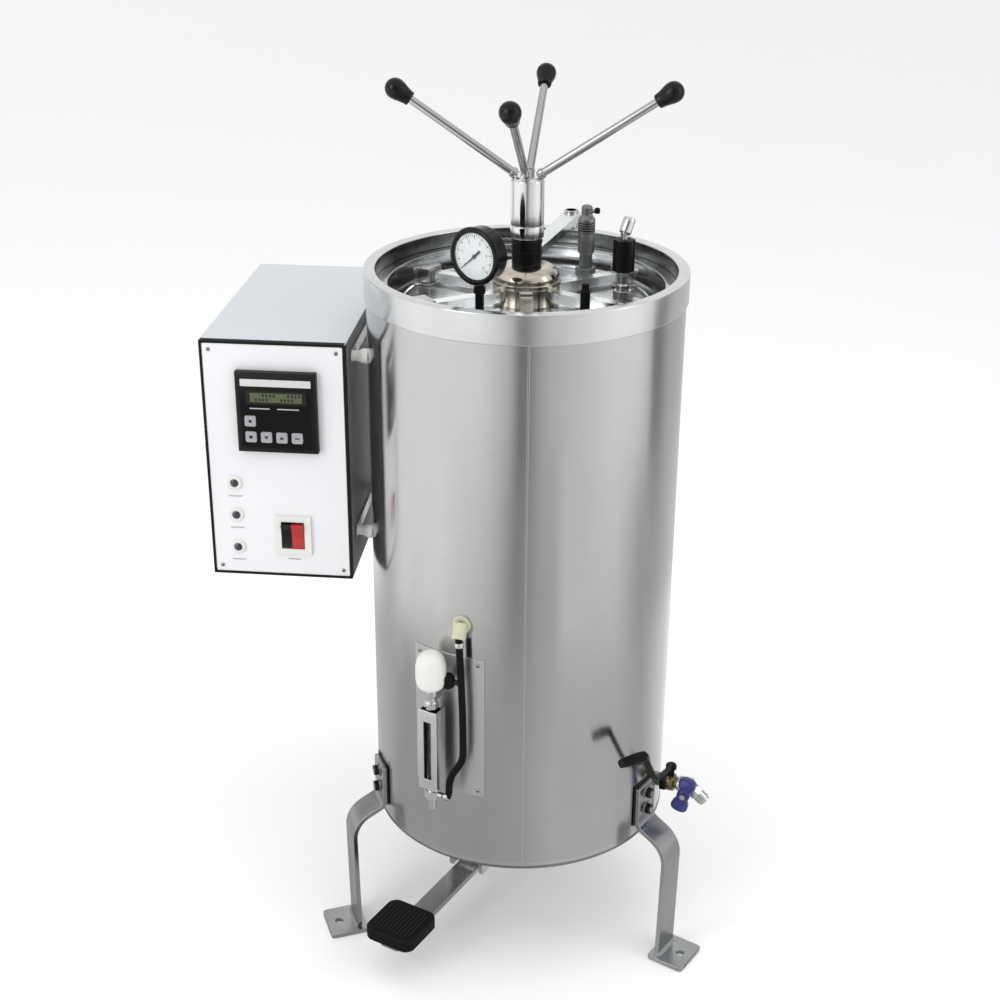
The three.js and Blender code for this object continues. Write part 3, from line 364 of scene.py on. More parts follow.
class Nodes:
    """A short way to write one material's node tree."""

    def __init__(self, name):
        self.material = bpy.data.materials.new(name)
        self.material.use_nodes = True
        self.tree = self.material.node_tree
        self.shader = self.tree.nodes["Principled BSDF"]
        self.coords = self.add("ShaderNodeTexCoord").outputs["Object"]

    def add(self, kind, **values):
        node = self.tree.nodes.new(kind)
        for key, value in values.items():
            if key in node.inputs:
                node.inputs[key].default_value = value
            else:
                setattr(node, key.lower(), value)
        return node

    def link(self, out, into):
        self.tree.links.new(out, into)

    def noise(self, scale, stretch=(1, 1, 1), detail=4.0, rough=0.55):
        mapping = self.add("ShaderNodeMapping")
        mapping.inputs["Scale"].default_value = stretch
        self.link(self.coords, mapping.inputs["Vector"])
        texture = self.add("ShaderNodeTexNoise", Scale=scale, Detail=detail, Roughness=rough)
        self.link(mapping.outputs["Vector"], texture.inputs["Vector"])
        return texture.outputs["Fac"]

    def ramp(self, value, low, high, at=(0.35, 0.65)):
        """Maps a 0-to-1 value to a number between low and high."""
        node = self.add("ShaderNodeMapRange")
        for key, number in zip(("From Min", "From Max", "To Min", "To Max"), (*at, low, high)):
            node.inputs[key].default_value = number
        self.link(value, node.inputs["Value"])
        return node.outputs["Result"]

    def blend(self, factor, first, second):
        """A colour between two colours."""
        node = self.add("ShaderNodeMix", data_type="RGBA")
        colour_inputs = [socket for socket in node.inputs if socket.type == "RGBA"]
        for socket, colour in zip(colour_inputs, (first, second)):
            if isinstance(colour, tuple):
                socket.default_value = (*colour, 1)
            else:
                self.link(colour, socket)
        self.link(factor, node.inputs["Factor"])
        return next(socket for socket in node.outputs if socket.type == "RGBA")

    def bump(self, height, strength, distance):
        node = self.add("ShaderNodeBump", Strength=strength, Distance=distance * MM)
        self.link(height, node.inputs["Height"])
        return node.outputs["Normal"]

    def edge_wear(self):
        """Near 1 along convex edges and 0 elsewhere."""
        geometry = self.add("ShaderNodeNewGeometry")
        return self.ramp(geometry.outputs["Pointiness"], 0.0, 1.0, WORN_POINTINESS)


def metal(name, colour, roughness, brush=(1, 1, 1), brush_scale=60, brush_bump=0.12, stains=0.12, spread=0.08,
          dark=0.82, streak=0.0):
    """Bare metal: a directional grain, a slow mottling of the colour, smears in the gloss, worn edges.

    A streak above 0 draws the reflections out along the height, as polishing round a turned piece does.
    """
    n = Nodes(name)
    grain = n.noise(brush_scale, brush, 6, 0.7)
    cloud = n.noise(9, (1, 1, 0.6), 3)
    smear = n.noise(26, (1, 1, 0.35), 5, 0.65)
    darker = tuple(c * dark for c in colour)
    lighter = tuple(min(1, c * 1.25) for c in colour)
    tone = n.blend(n.ramp(cloud, 0, 1), darker, colour)
    tone = n.blend(n.ramp(grain, 0, stains), tone, lighter)
    tone = n.blend(n.edge_wear(), tone, lighter)
    n.link(tone, n.shader.inputs["Base Color"])
    n.shader.inputs["Metallic"].default_value = 1
    n.shader.inputs["Anisotropic"].default_value = streak
    n.shader.inputs["Anisotropic Rotation"].default_value = 0.25
    n.link(n.ramp(smear, roughness - spread, roughness + spread), n.shader.inputs["Roughness"])
    n.link(n.bump(grain, brush_bump, 0.06), n.shader.inputs["Normal"])
    return n.material


def coated(name, colour, roughness, grain, grain_bump, mottle, wear=None, coat=0.0, shine=0.5):
    """Paint, plastic or rubber: fine texture, slight unevenness of tone and gloss, lighter worn edges."""
    n = Nodes(name)
    fine = n.noise(grain, (1, 1, 1), 3)
    slow = n.noise(14, (1, 1, 1), 4)
    scuff = n.noise(70, (1, 1, 1), 6, 0.7)
    tone = n.blend(n.ramp(slow, 0, 1), tuple(c * mottle for c in colour), colour)
    if wear:
        tone = n.blend(n.edge_wear(), tone, wear)
    n.link(tone, n.shader.inputs["Base Color"])
    gloss = n.ramp(scuff, roughness - COAT_SPREAD, roughness + COAT_SPREAD)
    n.link(gloss, n.shader.inputs["Roughness"])
    n.shader.inputs["Specular IOR Level"].default_value = shine
    n.shader.inputs["Coat Weight"].default_value = coat
    n.shader.inputs["Coat Roughness"].default_value = COAT_LAYER_ROUGHNESS
    n.link(n.bump(fine, grain_bump, 0.05), n.shader.inputs["Normal"])
    return n.material


def clear(name, colour):
    n = Nodes(name)
    film = n.noise(40, (1, 1, 1), 4)
    n.link(n.ramp(film, *GLASS_ROUGHNESS), n.shader.inputs["Roughness"])
    n.shader.inputs["Base Color"].default_value = (*colour, 1)
    n.shader.inputs["Transmission Weight"].default_value = 1
    n.shader.inputs["IOR"].default_value = GLASS_IOR
    return n.material


def wool(name, colour):
    n = Nodes(name)
    fibre = n.noise(500, (1, 1, 4), 8, 0.8)
    n.link(n.blend(fibre, tuple(c * 0.6 for c in colour), colour), n.shader.inputs["Base Color"])
    n.shader.inputs["Roughness"].default_value = 0.95
    n.link(n.bump(fibre, 0.8, 1.5), n.shader.inputs["Normal"])
    return n.material


SHEET_STEEL = metal("sheet_steel", (0.55, 0.55, 0.545), 0.18, (1, 1, 40), 30, 0.015, 0.15, 0.04, 0.95, 0.6)
HAZY_STEEL = metal("hazy_steel", (0.54, 0.54, 0.535), 0.4, (1, 1, 40), 30, 0.03, 0.15, 0.04, 0.95, 0.6)
RIM_STEEL = metal("rim_steel", (0.69, 0.7, 0.705), 0.21, (1, 1, 20), 60, 0.02, 0.2, 0.05, 0.9, 0.5)
# Steel darkened for the inner wall of the rim: painted shade inside the rim.
RIM_INSIDE_SHADE_STEEL = metal("rim_inside_painted_shade", (0.2, 0.21, 0.2), 0.2, (1, 1, 1), 40, 0.1, 0.5, 0.08, 0.3)
LID_STEEL = metal("lid_steel", (0.76, 0.77, 0.78), 0.17, (1, 1, 1), 90, 0.12, 0.3, 0.07, 0.5)
LEG_STEEL = metal("leg_steel", (0.42, 0.43, 0.44), 0.28, (1, 1, 0.1), 300, 0.15, 0.2, 0.1, 0.7)
BRIGHT_STEEL = metal("bright_steel", (0.85, 0.86, 0.88), 0.24, (1, 1, 0.1), 200, 0.06, 0.2, 0.06, 0.8)
BAR_STEEL = metal("bar_steel", (0.78, 0.8, 0.83), 0.24, (0.1, 1, 1), 300, 0.15, 0.2, 0.08, 0.75)
FITTING = metal("fitting_steel", (0.5, 0.5, 0.5), 0.22, (1, 1, 3), 200, 0.15, 0.25, 0.1, 0.55)
CHROME = metal("chrome", (0.78, 0.79, 0.8), 0.12, (1, 1, 20), 60, 0.02, 0.1, 0.04, 0.9, 0.7)
ROD_CHROME = metal("rod_chrome", (0.5, 0.505, 0.515), 0.16, (1, 1, 1), 60, 0.02, 0.1, 0.04, 0.85)
BRONZE = metal("bronze", (0.59, 0.55, 0.46), 0.17, (1, 1, 20), 70, 0.08, 0.5, 0.08, 0.4, 0.4)
BRASS = metal("brass", (0.26, 0.2, 0.12), 0.26, (1, 1, 3), 120, 0.12, 0.3, 0.08, 0.5)
DULL_STEEL = metal("dull_steel", (0.3, 0.31, 0.31), 0.38, (1, 1, 1), 90, 0.2, 0.3, 0.1, 0.55)
BLACKENED = metal("blackened_steel", (0.03, 0.03, 0.033), 0.36, (1, 1, 1), 120, 0.2, 0.1, 0.1, 0.6)
RUBBER = coated("black_rubber", (0.006, 0.006, 0.007), 0.6, 700, 0.5, 0.7, (0.025, 0.025, 0.025), shine=0.12)
GLOSS_BLACK = coated(
    "gloss_black", (0.003, 0.003, 0.004), 0.2, 300, 0.08, 0.8, (0.015, 0.015, 0.015), shine=0.3,
)
MATT_BLACK = coated(
    "matt_black", (0.005, 0.005, 0.006), 0.42, 1200, 0.4, 0.8, (0.025, 0.025, 0.025), shine=0.12,
)
POWDER = coated("powder_coat", (0.55, 0.58, 0.61), 0.5, 1500, 0.5, 0.94, (0.59, 0.62, 0.65))
# Dark grey: painted shade on the side of the control box that faces the vessel.
SIDE_SHADE_PAINT = coated("side_painted_shade", (0.19, 0.19, 0.2), 0.5, 1500, 0.5, 0.9)
PANEL = coated("panel_film", (0.86, 0.87, 0.89), 0.42, 1800, 0.2, 0.97)
WHITE = coated("white_plastic", (0.82, 0.82, 0.78), 0.35, 400, 0.1, 0.95, None, 0.2)
GREY = coated("grey_plastic", (0.36, 0.37, 0.39), 0.45, 900, 0.3, 0.85, (0.5, 0.5, 0.52))
BLUE = coated("blue_coating", (0.02, 0.018, 0.16), 0.3, 500, 0.2, 0.8, (0.06, 0.06, 0.3), 0.3)
RED = coated("red_rocker", (0.5, 0.012, 0.012), 0.28, 500, 0.1, 0.85, None, 0.4)
DIAL = coated("dial_face", (0.93, 0.94, 0.95), 0.5, 900, 0.05, 0.97)
INK = coated("dial_ink", (0.01, 0.01, 0.012), 0.5, 900, 0.05, 0.9)
LENS = coated("lamp_lens", (0.02, 0.03, 0.06), 0.12, 500, 0.05, 0.6, None, 0.8)
DISPLAY = coated("display_glass", (0.075, 0.1, 0.025), 0.2, 800, 0.05, 0.7, None, 0.5)
# Pale ivory: a painted reflection, the yellowish reflection in the shell at the hose's entry given to a
# sleeve and flange there.
IVORY_REFLECTION = coated("ivory_painted_reflection", (0.62, 0.62, 0.44), 0.4, 500, 0.1, 0.9, shine=0.3)
SEAL = coated("silicone", (0.6, 0.57, 0.52), 0.55, 600, 0.3, 0.9)
GLASS = clear("clear_glass", (0.95, 0.97, 0.97))
WOOL = wool("mineral_wool", (0.5, 0.42, 0.25))


# ---- camera, floor and light ----
CAMERA_OFFSET = Vector((138, -1836, 1414.6))
CAMERA_YAW = -5.2
CAMERA_PITCH = 24.18
CAMERA_ROLL = 0.4
FOCAL_MM = 58.64
FLOOR_GREY = 0.96
FLOOR_GLOW = 0.07
BACKDROP_GREY = 0.91


def make_camera():
    yaw, pitch, roll = (math.radians(a) for a in (CAMERA_YAW, CAMERA_PITCH, CAMERA_ROLL))
    ahead = Vector((math.sin(yaw) * math.cos(pitch), math.cos(yaw) * math.cos(pitch), -math.sin(pitch)))
    level = Vector((math.cos(yaw), -math.sin(yaw), 0))
    upward = level.cross(ahead)
    right = level * math.cos(roll) + upward * math.sin(roll)
    up = upward * math.cos(roll) - level * math.sin(roll)
    data = bpy.data.cameras.new("camera")
    data.lens = FOCAL_MM
    data.sensor_width = 36
    data.clip_end = 200
    camera = bpy.data.objects.new("camera", data)
    bpy.context.scene.collection.objects.link(camera)
    place = Matrix((right, up, -ahead)).transposed().to_4x4()
    place.translation = AXIS + CAMERA_OFFSET * MM
    camera.matrix_world = place
    bpy.context.scene.camera = camera


def area_light(name, azimuth, distance, height, width, tall, power):
    """A soft panel, sized in metres, turned to the middle of the object."""
    data = bpy.data.lights.new(name, "AREA")
    data.shape = "RECTANGLE"
    data.size, data.size_y = width, tall
    data.energy = power
    light = bpy.data.objects.new(name, data)
    bpy.context.scene.collection.objects.link(light)
    light.location = AXIS + around(azimuth, distance / MM, height / MM) * MM
    target = AXIS + Vector((0, 0, 0.5))
    light.rotation_mode = "QUATERNION"
    light.rotation_quaternion = (light.location - target).to_track_quat("Z", "Y")
    light.visible_camera = False
    return light


def make_studio():
    bm = bmesh.new()
    add_prism(bm, rectangle(60000, 60000), -40, 0)
    n = Nodes("floor")
    n.shader.inputs["Base Color"].default_value = (FLOOR_GREY, FLOOR_GREY, FLOOR_GREY, 1)
    n.shader.inputs["Emission Color"].default_value = (1, 1, 1, 1)
    n.shader.inputs["Emission Strength"].default_value = FLOOR_GLOW
    n.link(n.ramp(n.noise(3), 0.7, 0.8), n.shader.inputs["Roughness"])
    floor = build("studio_floor", bm, n.material)
    area_light("key_left", -42, 2.6, 2.1, 1.0, 1.6, 15)
    area_light("fill_right", 75, 2.6, 1.9, 0.7, 1.6, 6)
    top = area_light("top_soft", 10, 0.6, 3.2, 2.4, 2.4, 22)
    top.visible_glossy = False
    reflector()
    bpy.context.scene.world = studio_world()
    bpy.context.scene.view_settings.view_transform = "Standard"


# Greys by direction. Each pair is a share of a turn and the grey there. The turn starts straight behind and
# goes by way of the left.
WALL_TONES = [
    (0.0, 0.95), (0.08, 0.9), (0.14, 0.3), (0.22, 1.0), (0.4, 1.1), (0.45, 0.8), (0.487, 0.12), (0.525, 0.15),
    (0.575, 0.6), (0.64, 0.85), (0.75, 1.1), (0.81, 0.7), (0.845, 0.2), (0.9, 0.8), (1.0, 0.95),
]
CEILING_TONE = 0.9
FAR_TONES = [
    (0.0, 0.7), (0.1, 1.1), (0.19, 0.8), (0.203, 0.5), (0.24, 1.1), (0.3, 1.17), (0.43, 1.1), (0.483, 0.74),
    (0.503, 0.22), (0.517, 0.3), (0.535, 0.52), (0.555, 0.7), (0.635, 0.9), (0.69, 1.08), (0.75, 1.1),
    (0.778, 0.85), (0.792, 0.3), (0.812, 0.3), (0.85, 0.6), (0.92, 0.62), (1.0, 0.7),
]
MIDDLE_TONES = [
    (0.0, 0.8), (0.12, 1.0), (0.197, 0.7), (0.245, 1.1), (0.35, 1.15), (0.38, 1.0), (0.41, 0.9),
    (0.436, 0.82), (0.461, 0.68), (0.486, 0.42), (0.5, 0.34), (0.52, 0.42), (0.545, 0.56), (0.575, 0.6),
    (0.59, 0.88), (0.64, 0.86), (0.7, 0.9), (0.735, 0.7), (0.765, 0.5), (0.82, 0.55), (0.89, 0.72),
    (1.0, 0.7),
]
NEAR_TONES = [
    (0.0, 0.6), (0.2, 0.6), (0.25, 0.47), (0.45, 0.47), (0.52, 0.52), (0.57, 0.64), (0.67, 0.66),
    (0.72, 0.62), (0.78, 0.55), (0.84, 0.8), (0.92, 1.0), (1.0, 0.6),
]
# Distances from the axis, in metres, over which one set of tones passes into the next.
NEAR_EDGE = (0.92, 1.12)
FAR_EDGE = (1.5, 2.1)
# Heights of direction over which the walls pass into the ceiling.
CEILING_EDGE = (0.35, 0.8)


def wired(tree, kind, *sources, operation=None):
    """A new node whose first inputs are set to the given numbers and sockets, in their order."""
    node = tree.nodes.new(kind)
    if operation:
        node.operation = operation
    for socket, source in zip(node.inputs, sources):
        if isinstance(source, (int, float)):
            socket.default_value = source
        else:
            tree.links.new(source, socket)
    return node


def tones_round(tree, vector, tones):
    """The grey that belongs to the vector's direction round the vertical axis."""
    axes = wired(tree, "ShaderNodeSeparateXYZ", vector).outputs
    back = wired(tree, "ShaderNodeMath", axes["Y"], -1, operation="MULTIPLY").outputs["Value"]
    angle = wired(tree, "ShaderNodeMath", axes["X"], back, operation="ARCTAN2").outputs["Value"]
    turn = share_of(tree, angle, -math.pi, math.pi)
    ramp = tree.nodes.new("ShaderNodeValToRGB")
    stops = ramp.color_ramp.elements
    while len(stops) < len(tones):
        stops.new(0.5)
    for stop, (place, grey) in zip(stops, tones):
        stop.position = place
        stop.color = (grey, grey, grey, 1)
    tree.links.new(turn, ramp.inputs["Fac"])
    return ramp.outputs["Color"]


def share_of(tree, value, low, high):
    return wired(tree, "ShaderNodeMapRange", value, low, high).outputs["Result"]


def mixed(tree, factor, first, second):
    node = tree.nodes.new("ShaderNodeMix")
    node.data_type = "RGBA"
    low, high = [socket for socket in node.inputs if socket.type == "RGBA"]
    tree.links.new(factor, node.inputs["Factor"])
    tree.links.new(first, low)
    if isinstance(second, float):
        high.default_value = (second, second, second, 1)
    else:
        tree.links.new(second, high)
    return next(socket for socket in node.outputs if socket.type == "RGBA")


def reflector():
    """One sheet on the floor that only reflections see: greyer close by, lighter far off."""
    n = Nodes("reflector")
    ends = n.tree.nodes["Material Output"]
    glow = n.add("ShaderNodeEmission")
    span = n.add("ShaderNodeVectorMath", operation="LENGTH")
    n.link(n.coords, span.inputs[0])
    near, middle, far = (
        tones_round(n.tree, n.coords, tones) for tones in (NEAR_TONES, MIDDLE_TONES, FAR_TONES)
    )
    inner = mixed(n.tree, share_of(n.tree, span.outputs["Value"], *NEAR_EDGE), near, middle)
    n.link(
        mixed(n.tree, share_of(n.tree, span.outputs["Value"], *FAR_EDGE), inner, far), glow.inputs["Color"],
    )
    n.link(glow.outputs["Emission"], ends.inputs["Surface"])
    bm = bmesh.new()
    add_prism(bm, rectangle(30000, 30000), 0.2, 0.6)
    sheet = build("studio_reflector", bm, n.material)
    for ray in ("camera", "diffuse", "shadow", "transmission", "volume_scatter"):
        setattr(sheet, f"visible_{ray}", False)


def studio_world():
    """Soft bright walls with darker gaps between them, under a bright ceiling."""
    world = bpy.data.worlds.new("studio")
    world.use_nodes = True
    tree = world.node_tree
    nodes = tree.nodes
    coords = nodes.new("ShaderNodeTexCoord").outputs["Generated"]
    axes = wired(tree, "ShaderNodeSeparateXYZ", coords)
    walls = tones_round(tree, coords, WALL_TONES)
    room = mixed(tree, share_of(tree, axes.outputs["Z"], *CEILING_EDGE), walls, CEILING_TONE)
    tree.links.new(room, nodes["Background"].inputs["Color"])
    plain = nodes.new("ShaderNodeBackground")
    plain.inputs["Color"].default_value = (BACKDROP_GREY, BACKDROP_GREY, BACKDROP_GREY, 1)
    path = nodes.new("ShaderNodeLightPath")
    both = [node.outputs["Background"] for node in (nodes["Background"], plain)]
    either = wired(tree, "ShaderNodeMixShader", path.outputs["Is Camera Ray"], *both)
    tree.links.new(either.outputs["Shader"], nodes["World Output"].inputs["Surface"])
    return world


# ---- vessel body ----
SEAM_AZIMUTH = 5.5
SHEET = 1.5
WAVE_AROUND, WAVE_ALONG, WAVE_SHARE = 70, 260, 0.0011


def shell():
    """The outer sheet, slightly uneven as rolled sheet is, so that its reflections waver."""
    rows, segments = 72, 192
    bottom, top = SHELL_LOW.z, RIM_BOTTOM + 20
    bm = bmesh.new()
    outer = [(SHELL_RADIUS, bottom + (top - bottom) * k / rows) for k in range(rows + 1)]
    inner = [(SHELL_RADIUS - SHEET, top), (SHELL_RADIUS - SHEET, bottom)]
    add_lathe(bm, outer + inner, segments, closed=True)
    for vertex in bm.verts:
        x, y, z = vertex.co
        wave = noise.noise(Vector((x / WAVE_AROUND, y / WAVE_AROUND, z / WAVE_ALONG)))
        share = 1 - WAVE_SHARE * (0.5 + wave)
        vertex.co.x *= min(share, 1)
        vertex.co.y *= min(share, 1)
    piece(build("shell_skin", bm, SHEET_STEEL, crease=40), "frame", "stainless_polished", "outer_shell")
    outline = soft_rectangle(0.5, 2.4, 0.3)
    seam = prism("shell_seam", outline, bottom + 1, RIM_BOTTOM - 0.5, SHEET_STEEL,
                 turned(SEAM_AZIMUTH, SHELL_RADIUS - 0.1), bevel=0.1)
    piece(seam, "frame", "stainless_polished")
    hem = ring(
        "shell_hem", SHELL_RADIUS - SHEET, SHELL_RADIUS + 0.5, bottom, bottom + 4, DULL_STEEL, Matrix(),
        192, 0.8,
    )
    piece(hem, "frame", "stainless_polished")


def rim():
    low = local_box("locking_ring")[1].z + 0.3
    bore, sheet = 176.5, 2.0
    outline = [
        (RIM_RADIUS, RIM_BOTTOM), (RIM_RADIUS, RIM_TOP), (bore, RIM_TOP), (bore, RIM_TOP - sheet),
        (RIM_RADIUS - sheet, RIM_TOP - sheet), (RIM_RADIUS - sheet, RIM_BOTTOM),
    ]
    band = lathe("rim_skin", outline, RIM_STEEL, segments=192, soft=1.2, closed=True)
    piece(band, "frame", "stainless_polished", "rim_band")
    # The rim's inner wall gets the darkened steel: painted shade inside the rim.
    inside = ring("rim_skirt", bore, bore + sheet, low, RIM_TOP - 1, RIM_INSIDE_SHADE_STEEL, segments=192, soft=0.5)
    piece(inside, "frame", "steel_satin")
    outline = soft_rectangle(0.5, 3, 0.3)
    joint = prism("rim_seam", outline, RIM_BOTTOM + 0.5, RIM_TOP - 1.5, RIM_STEEL,
                  turned(SEAM_AZIMUTH, RIM_RADIUS - 0.3), bevel=0.1)
    piece(joint, "frame", "stainless_polished")


def locking_ring():
    low, high = local_box("locking_ring")
    radius = (high.x - low.x) / 2
    lip = high.z - 6
    outline = [(radius, low.z), (radius, high.z), (162, high.z), (162, lip), (172, lip), (172, low.z)]
    body = lathe("locking_ring_skin", outline, LID_STEEL, segments=160, soft=0.8, closed=True)
    piece(body, "frame", "steel_satin", "locking_ring")


LEGS = ("leg_left", "leg_right", "leg_rear")
LEG_STRIP = 6
LEG_WIDTH = 40
LEG_TOE = 270
LEG_STEP_OUT = (232.5, 167)
LEG_ANKLE = 229.5
LEG_BENDS = [14, 36, 8]
LEG_TOP, LEG_WAIST = 245, 189
LEG_BOLT_HEIGHTS = (233, 209)
FOOT_FROM, FOOT_WIDTH = 220, 56
FOOT_HOLE = 5


def leg_azimuth(node):
    low, high = local_box(node)
    return round(azimuth_of((low + high) / 2))


def legs():
    inner = SHELL_RADIUS + 3.3
    centre_line = [
        (inner, LEG_TOP), (inner, LEG_WAIST), LEG_STEP_OUT, (LEG_ANKLE, LEG_STRIP / 2),
        (LEG_TOE, LEG_STRIP / 2),
    ]
    for node in LEGS:
        azimuth = leg_azimuth(node)
        line = fillet(centre_line, LEG_BENDS)
        bm = bmesh.new()
        add_prism(bm, strip_outline(line, LEG_STRIP), -LEG_WIDTH / 2, LEG_WIDTH / 2, FACE_OUT)
        strip = build(f"{node}_bar", bm, LEG_STEEL, turned(azimuth), crease=25)
        outline = soft_rectangle(LEG_TOE - FOOT_FROM, FOOT_WIDTH, 5, (LEG_TOE + FOOT_FROM) / 2)
        foot = prism(f"{node}_foot", outline, 0, 6.1, LEG_STEEL, turned(azimuth), bevel=0)
        for part, replaced in ((strip, (node,)), (foot, ())):
            hole = rod("hole", FOOT_HOLE, -2, 8, LEG_STEEL, turned(azimuth, LEG_TOE - 16), 32, 0)
            carve(part, hole)
            soften_edges(part, 0.9, 3)
            piece(part, "frame", "steel_satin", *replaced)
        for k, z in enumerate(LEG_BOLT_HEIGHTS):
            face = turned(azimuth, inner + LEG_STRIP / 2, z) @ LIE_OUT
            washer = ring(f"{node}_washer_{k}", 4, 9, -0.1, 1.3, FITTING, face, 40, 0.3)
            nut = hex_nut(f"{node}_nut_{k}", 13, 1.3, 6.4, BLACKENED, face, bevel=0.7)
            stud = rod(f"{node}_stud_{k}", 3.4, 1.0, 7.4, FITTING, face, 24, 0.7)
            for part in (washer, nut, stud):
                piece(part, "frame", "steel_satin")
        gasket = prism(
            f"{node}_gasket", rectangle(0.7, 44), 190, 249, RUBBER, turned(azimuth, SHELL_RADIUS + 0.1),
            bevel=0,
        )
        piece(gasket, "frame", "rubber_black")


# ---- lid ----
GUIDE_ORBIT = 134
SAFETY_AZIMUTH, SAFETY_ORBIT = 148, 122


def lid():
    low, high = local_box("lid_plate")
    bottom = low.z
    top = bottom + 10
    radius = (high.x - low.x) / 2
    outline = [
        (0, bottom), (radius, bottom), (radius, top - 2), (radius - 3, top), (radius - 14, top),
        (radius - 16, top - 1.2), (radius - 19, top), (0, top),
    ]
    plate = lathe("lid_skin", outline, LID_STEEL, segments=160, soft=1.0)
    piece(plate, "lid", "stainless_polished", "lid_plate")
    housing = ring("hub_ring", 31, 39, top - 1, high.z, BRONZE, segments=96, soft=0.8)
    cutters = []
    for k in range(6):
        azimuth = bolt_azimuth(k)
        place = turned(azimuth)
        window = prism(f"window_{k}", rectangle(30, 15, 36), top + 2.8, top + 15.8, BRONZE, place, bevel=0)
        cutters.append(window)
        bm = bmesh.new()
        for y in (-10.9, 10.9):
            add_prism(bm, rectangle(16, 6.6, GUIDE_ORBIT, y), top - 0.5, top + 20.3)
        add_prism(bm, rectangle(16, 15.4, GUIDE_ORBIT), top + 15.9, top + 20.3)
        add_prism(bm, rectangle(24, 36, GUIDE_ORBIT), top - 0.5, top + 2.6)
        piece(build(f"bolt_guide_{k + 1}", bm, FITTING, place, bevel=0.6), "lid", "stainless_polished")
        for y in (-14.6, 14.6):
            for x in (GUIDE_ORBIT - 8, GUIDE_ORBIT + 8):
                screw = rod(
                    f"guide_screw_{k + 1}_{x}_{'a' if y < 0 else 'b'}", 2, 2.4, 4.4, FITTING,
                    place @ Matrix.Translation((x, y, top)), 20, 0.4,
                )
                piece(screw, "lid", "stainless_polished")
    carve(housing, *cutters)
    piece(housing, "lid", "stainless_polished")
    hub = local_box("hub_cover")
    shape = [(39, hub[0].z), (39, hub[0].z + 2.7)]
    for k in range(13):
        angle = math.radians(90 * k / 12)
        shape.append(
            (25 + 14 * math.cos(angle), hub[0].z + 2.7 + (hub[1].z - hub[0].z - 2.7) * math.sin(angle))
        )
    shape += [(12.6, hub[1].z), (12.6, hub[0].z)]
    bell = lathe("hub_bell", shape, BRONZE, segments=96, soft=0, closed=True)
    piece(bell, "lid", "bronze_cast", "hub_cover")
    band = ring("hub_band", 38.8, 40.6, hub[0].z - 4, hub[0].z + 1.6, BRONZE, segments=96, soft=0.8)
    piece(band, "lid", "bronze_cast")


def bolt_azimuth(k):
    return azimuth_of(JOINTS[f"bolt_{k + 1}_slide"]["axis"])


COLUMN_RADIUS = 19.5
LIFT_ORBIT = 203


def lift_frame():
    low = local_box("lift_frame")[0]
    post = local_box("lift_guide")
    centre = (post[0] + post[1]) / 2
    azimuth, orbit = azimuth_of(centre), LIFT_ORBIT
    arm_low, arm_high, collar_top = RIM_TOP + 3, RIM_TOP + 15, 922
    shaft = rod("lift_rod", 9, low.z + 4, arm_high + 3, ROD_CHROME, turned(azimuth, orbit), 48, 1.0)
    piece(shaft, "lid", "chrome_bright", "lift_frame")
    foot = rod("lift_rod_foot", 15, low.z, low.z + 6, FITTING, turned(azimuth, orbit), 48, 1.0)
    piece(foot, "lid", "steel_satin")
    outline = rounded([(14, -9), (60, -9), (orbit - 20, -10.5), (orbit + 12, -10.5), (orbit + 12, 10.5),
                       (orbit - 20, 10.5), (60, 9), (14, 9)], 7, closed=True)
    arm = prism("lift_arm", outline, arm_low + 0.2, arm_high - 0.2, BAR_STEEL, turned(azimuth), bevel=1.2)
    piece(arm, "lid", "steel_satin")
    collar = ring("lift_collar", 12.5, 17.4, arm_low, collar_top, BLACKENED, segments=64, soft=1.0)
    piece(collar, "lid", "steel_satin")
    for k, z in enumerate((arm_low + 16, collar_top - 5)):
        lip = ring(f"collar_lip_{k + 1}", 17, 18.4, z - 1.2, z + 1.2, BLACKENED, segments=64, soft=0.5)
        piece(lip, "lid", "steel_satin")
    sleeve = ring(
        "column_sleeve", 12.4, COLUMN_RADIUS, collar_top, high_of_sleeve(), CHROME, segments=72, soft=0.9,
    )
    piece(sleeve, "lid", "chrome_bright")
    cap = hex_nut("lift_rod_nut", 14, arm_high, arm_high + 3, FITTING, turned(azimuth, orbit), bevel=0.6)
    piece(cap, "lid", "steel_satin")


def high_of_sleeve():
    return local_box("capstan_head")[0].z - 0.3


SPOKE_ROOT = 985
SPOKE_TURN = -3
SPOKE_TIPS = [(146, 104), (157, 104), (160, 93), (148, 98)]
KNOB_LENGTH = 33


def capstan():
    low = local_box("capstan_head")[0]
    top = 991
    outline = [
        (0, low.z + 30), (12.3, low.z + 30), (12.3, low.z), (COLUMN_RADIUS, low.z),
        (COLUMN_RADIUS, top - 2.5), (COLUMN_RADIUS - 3, top), (0, top + 1),
    ]
    column = lathe("column_head", outline, CHROME, segments=72, soft=1.0)
    piece(column, "capstan", "chrome_bright", "capstan_head")
    root = Vector((0, 0, SPOKE_ROOT))
    for k, (reach, rise) in enumerate(SPOKE_TIPS):
        node = f"spoke_knob_{k + 1}"
        place = pointing(root, around(SPOKE_TURN + 90 * k, reach, SPOKE_ROOT + rise))
        start = math.hypot(reach, rise) - KNOB_LENGTH / 2
        spoke = rod(f"spoke_{k + 1}", 4.8, 14, start + 9, ROD_CHROME, place, 32, 0.6)
        piece(spoke, "capstan", "chrome_bright")
        collar = rod(f"spoke_collar_{k + 1}", 6.2, 17, 22, ROD_CHROME, place, 40, 1.0)
        piece(collar, "capstan", "chrome_bright")
        knob = lathe(node + "_grip", knob_outline(start), GLOSS_BLACK, place, 48, 0, crease=45)
        piece(settle(knob), "capstan", "plastic_black", node)


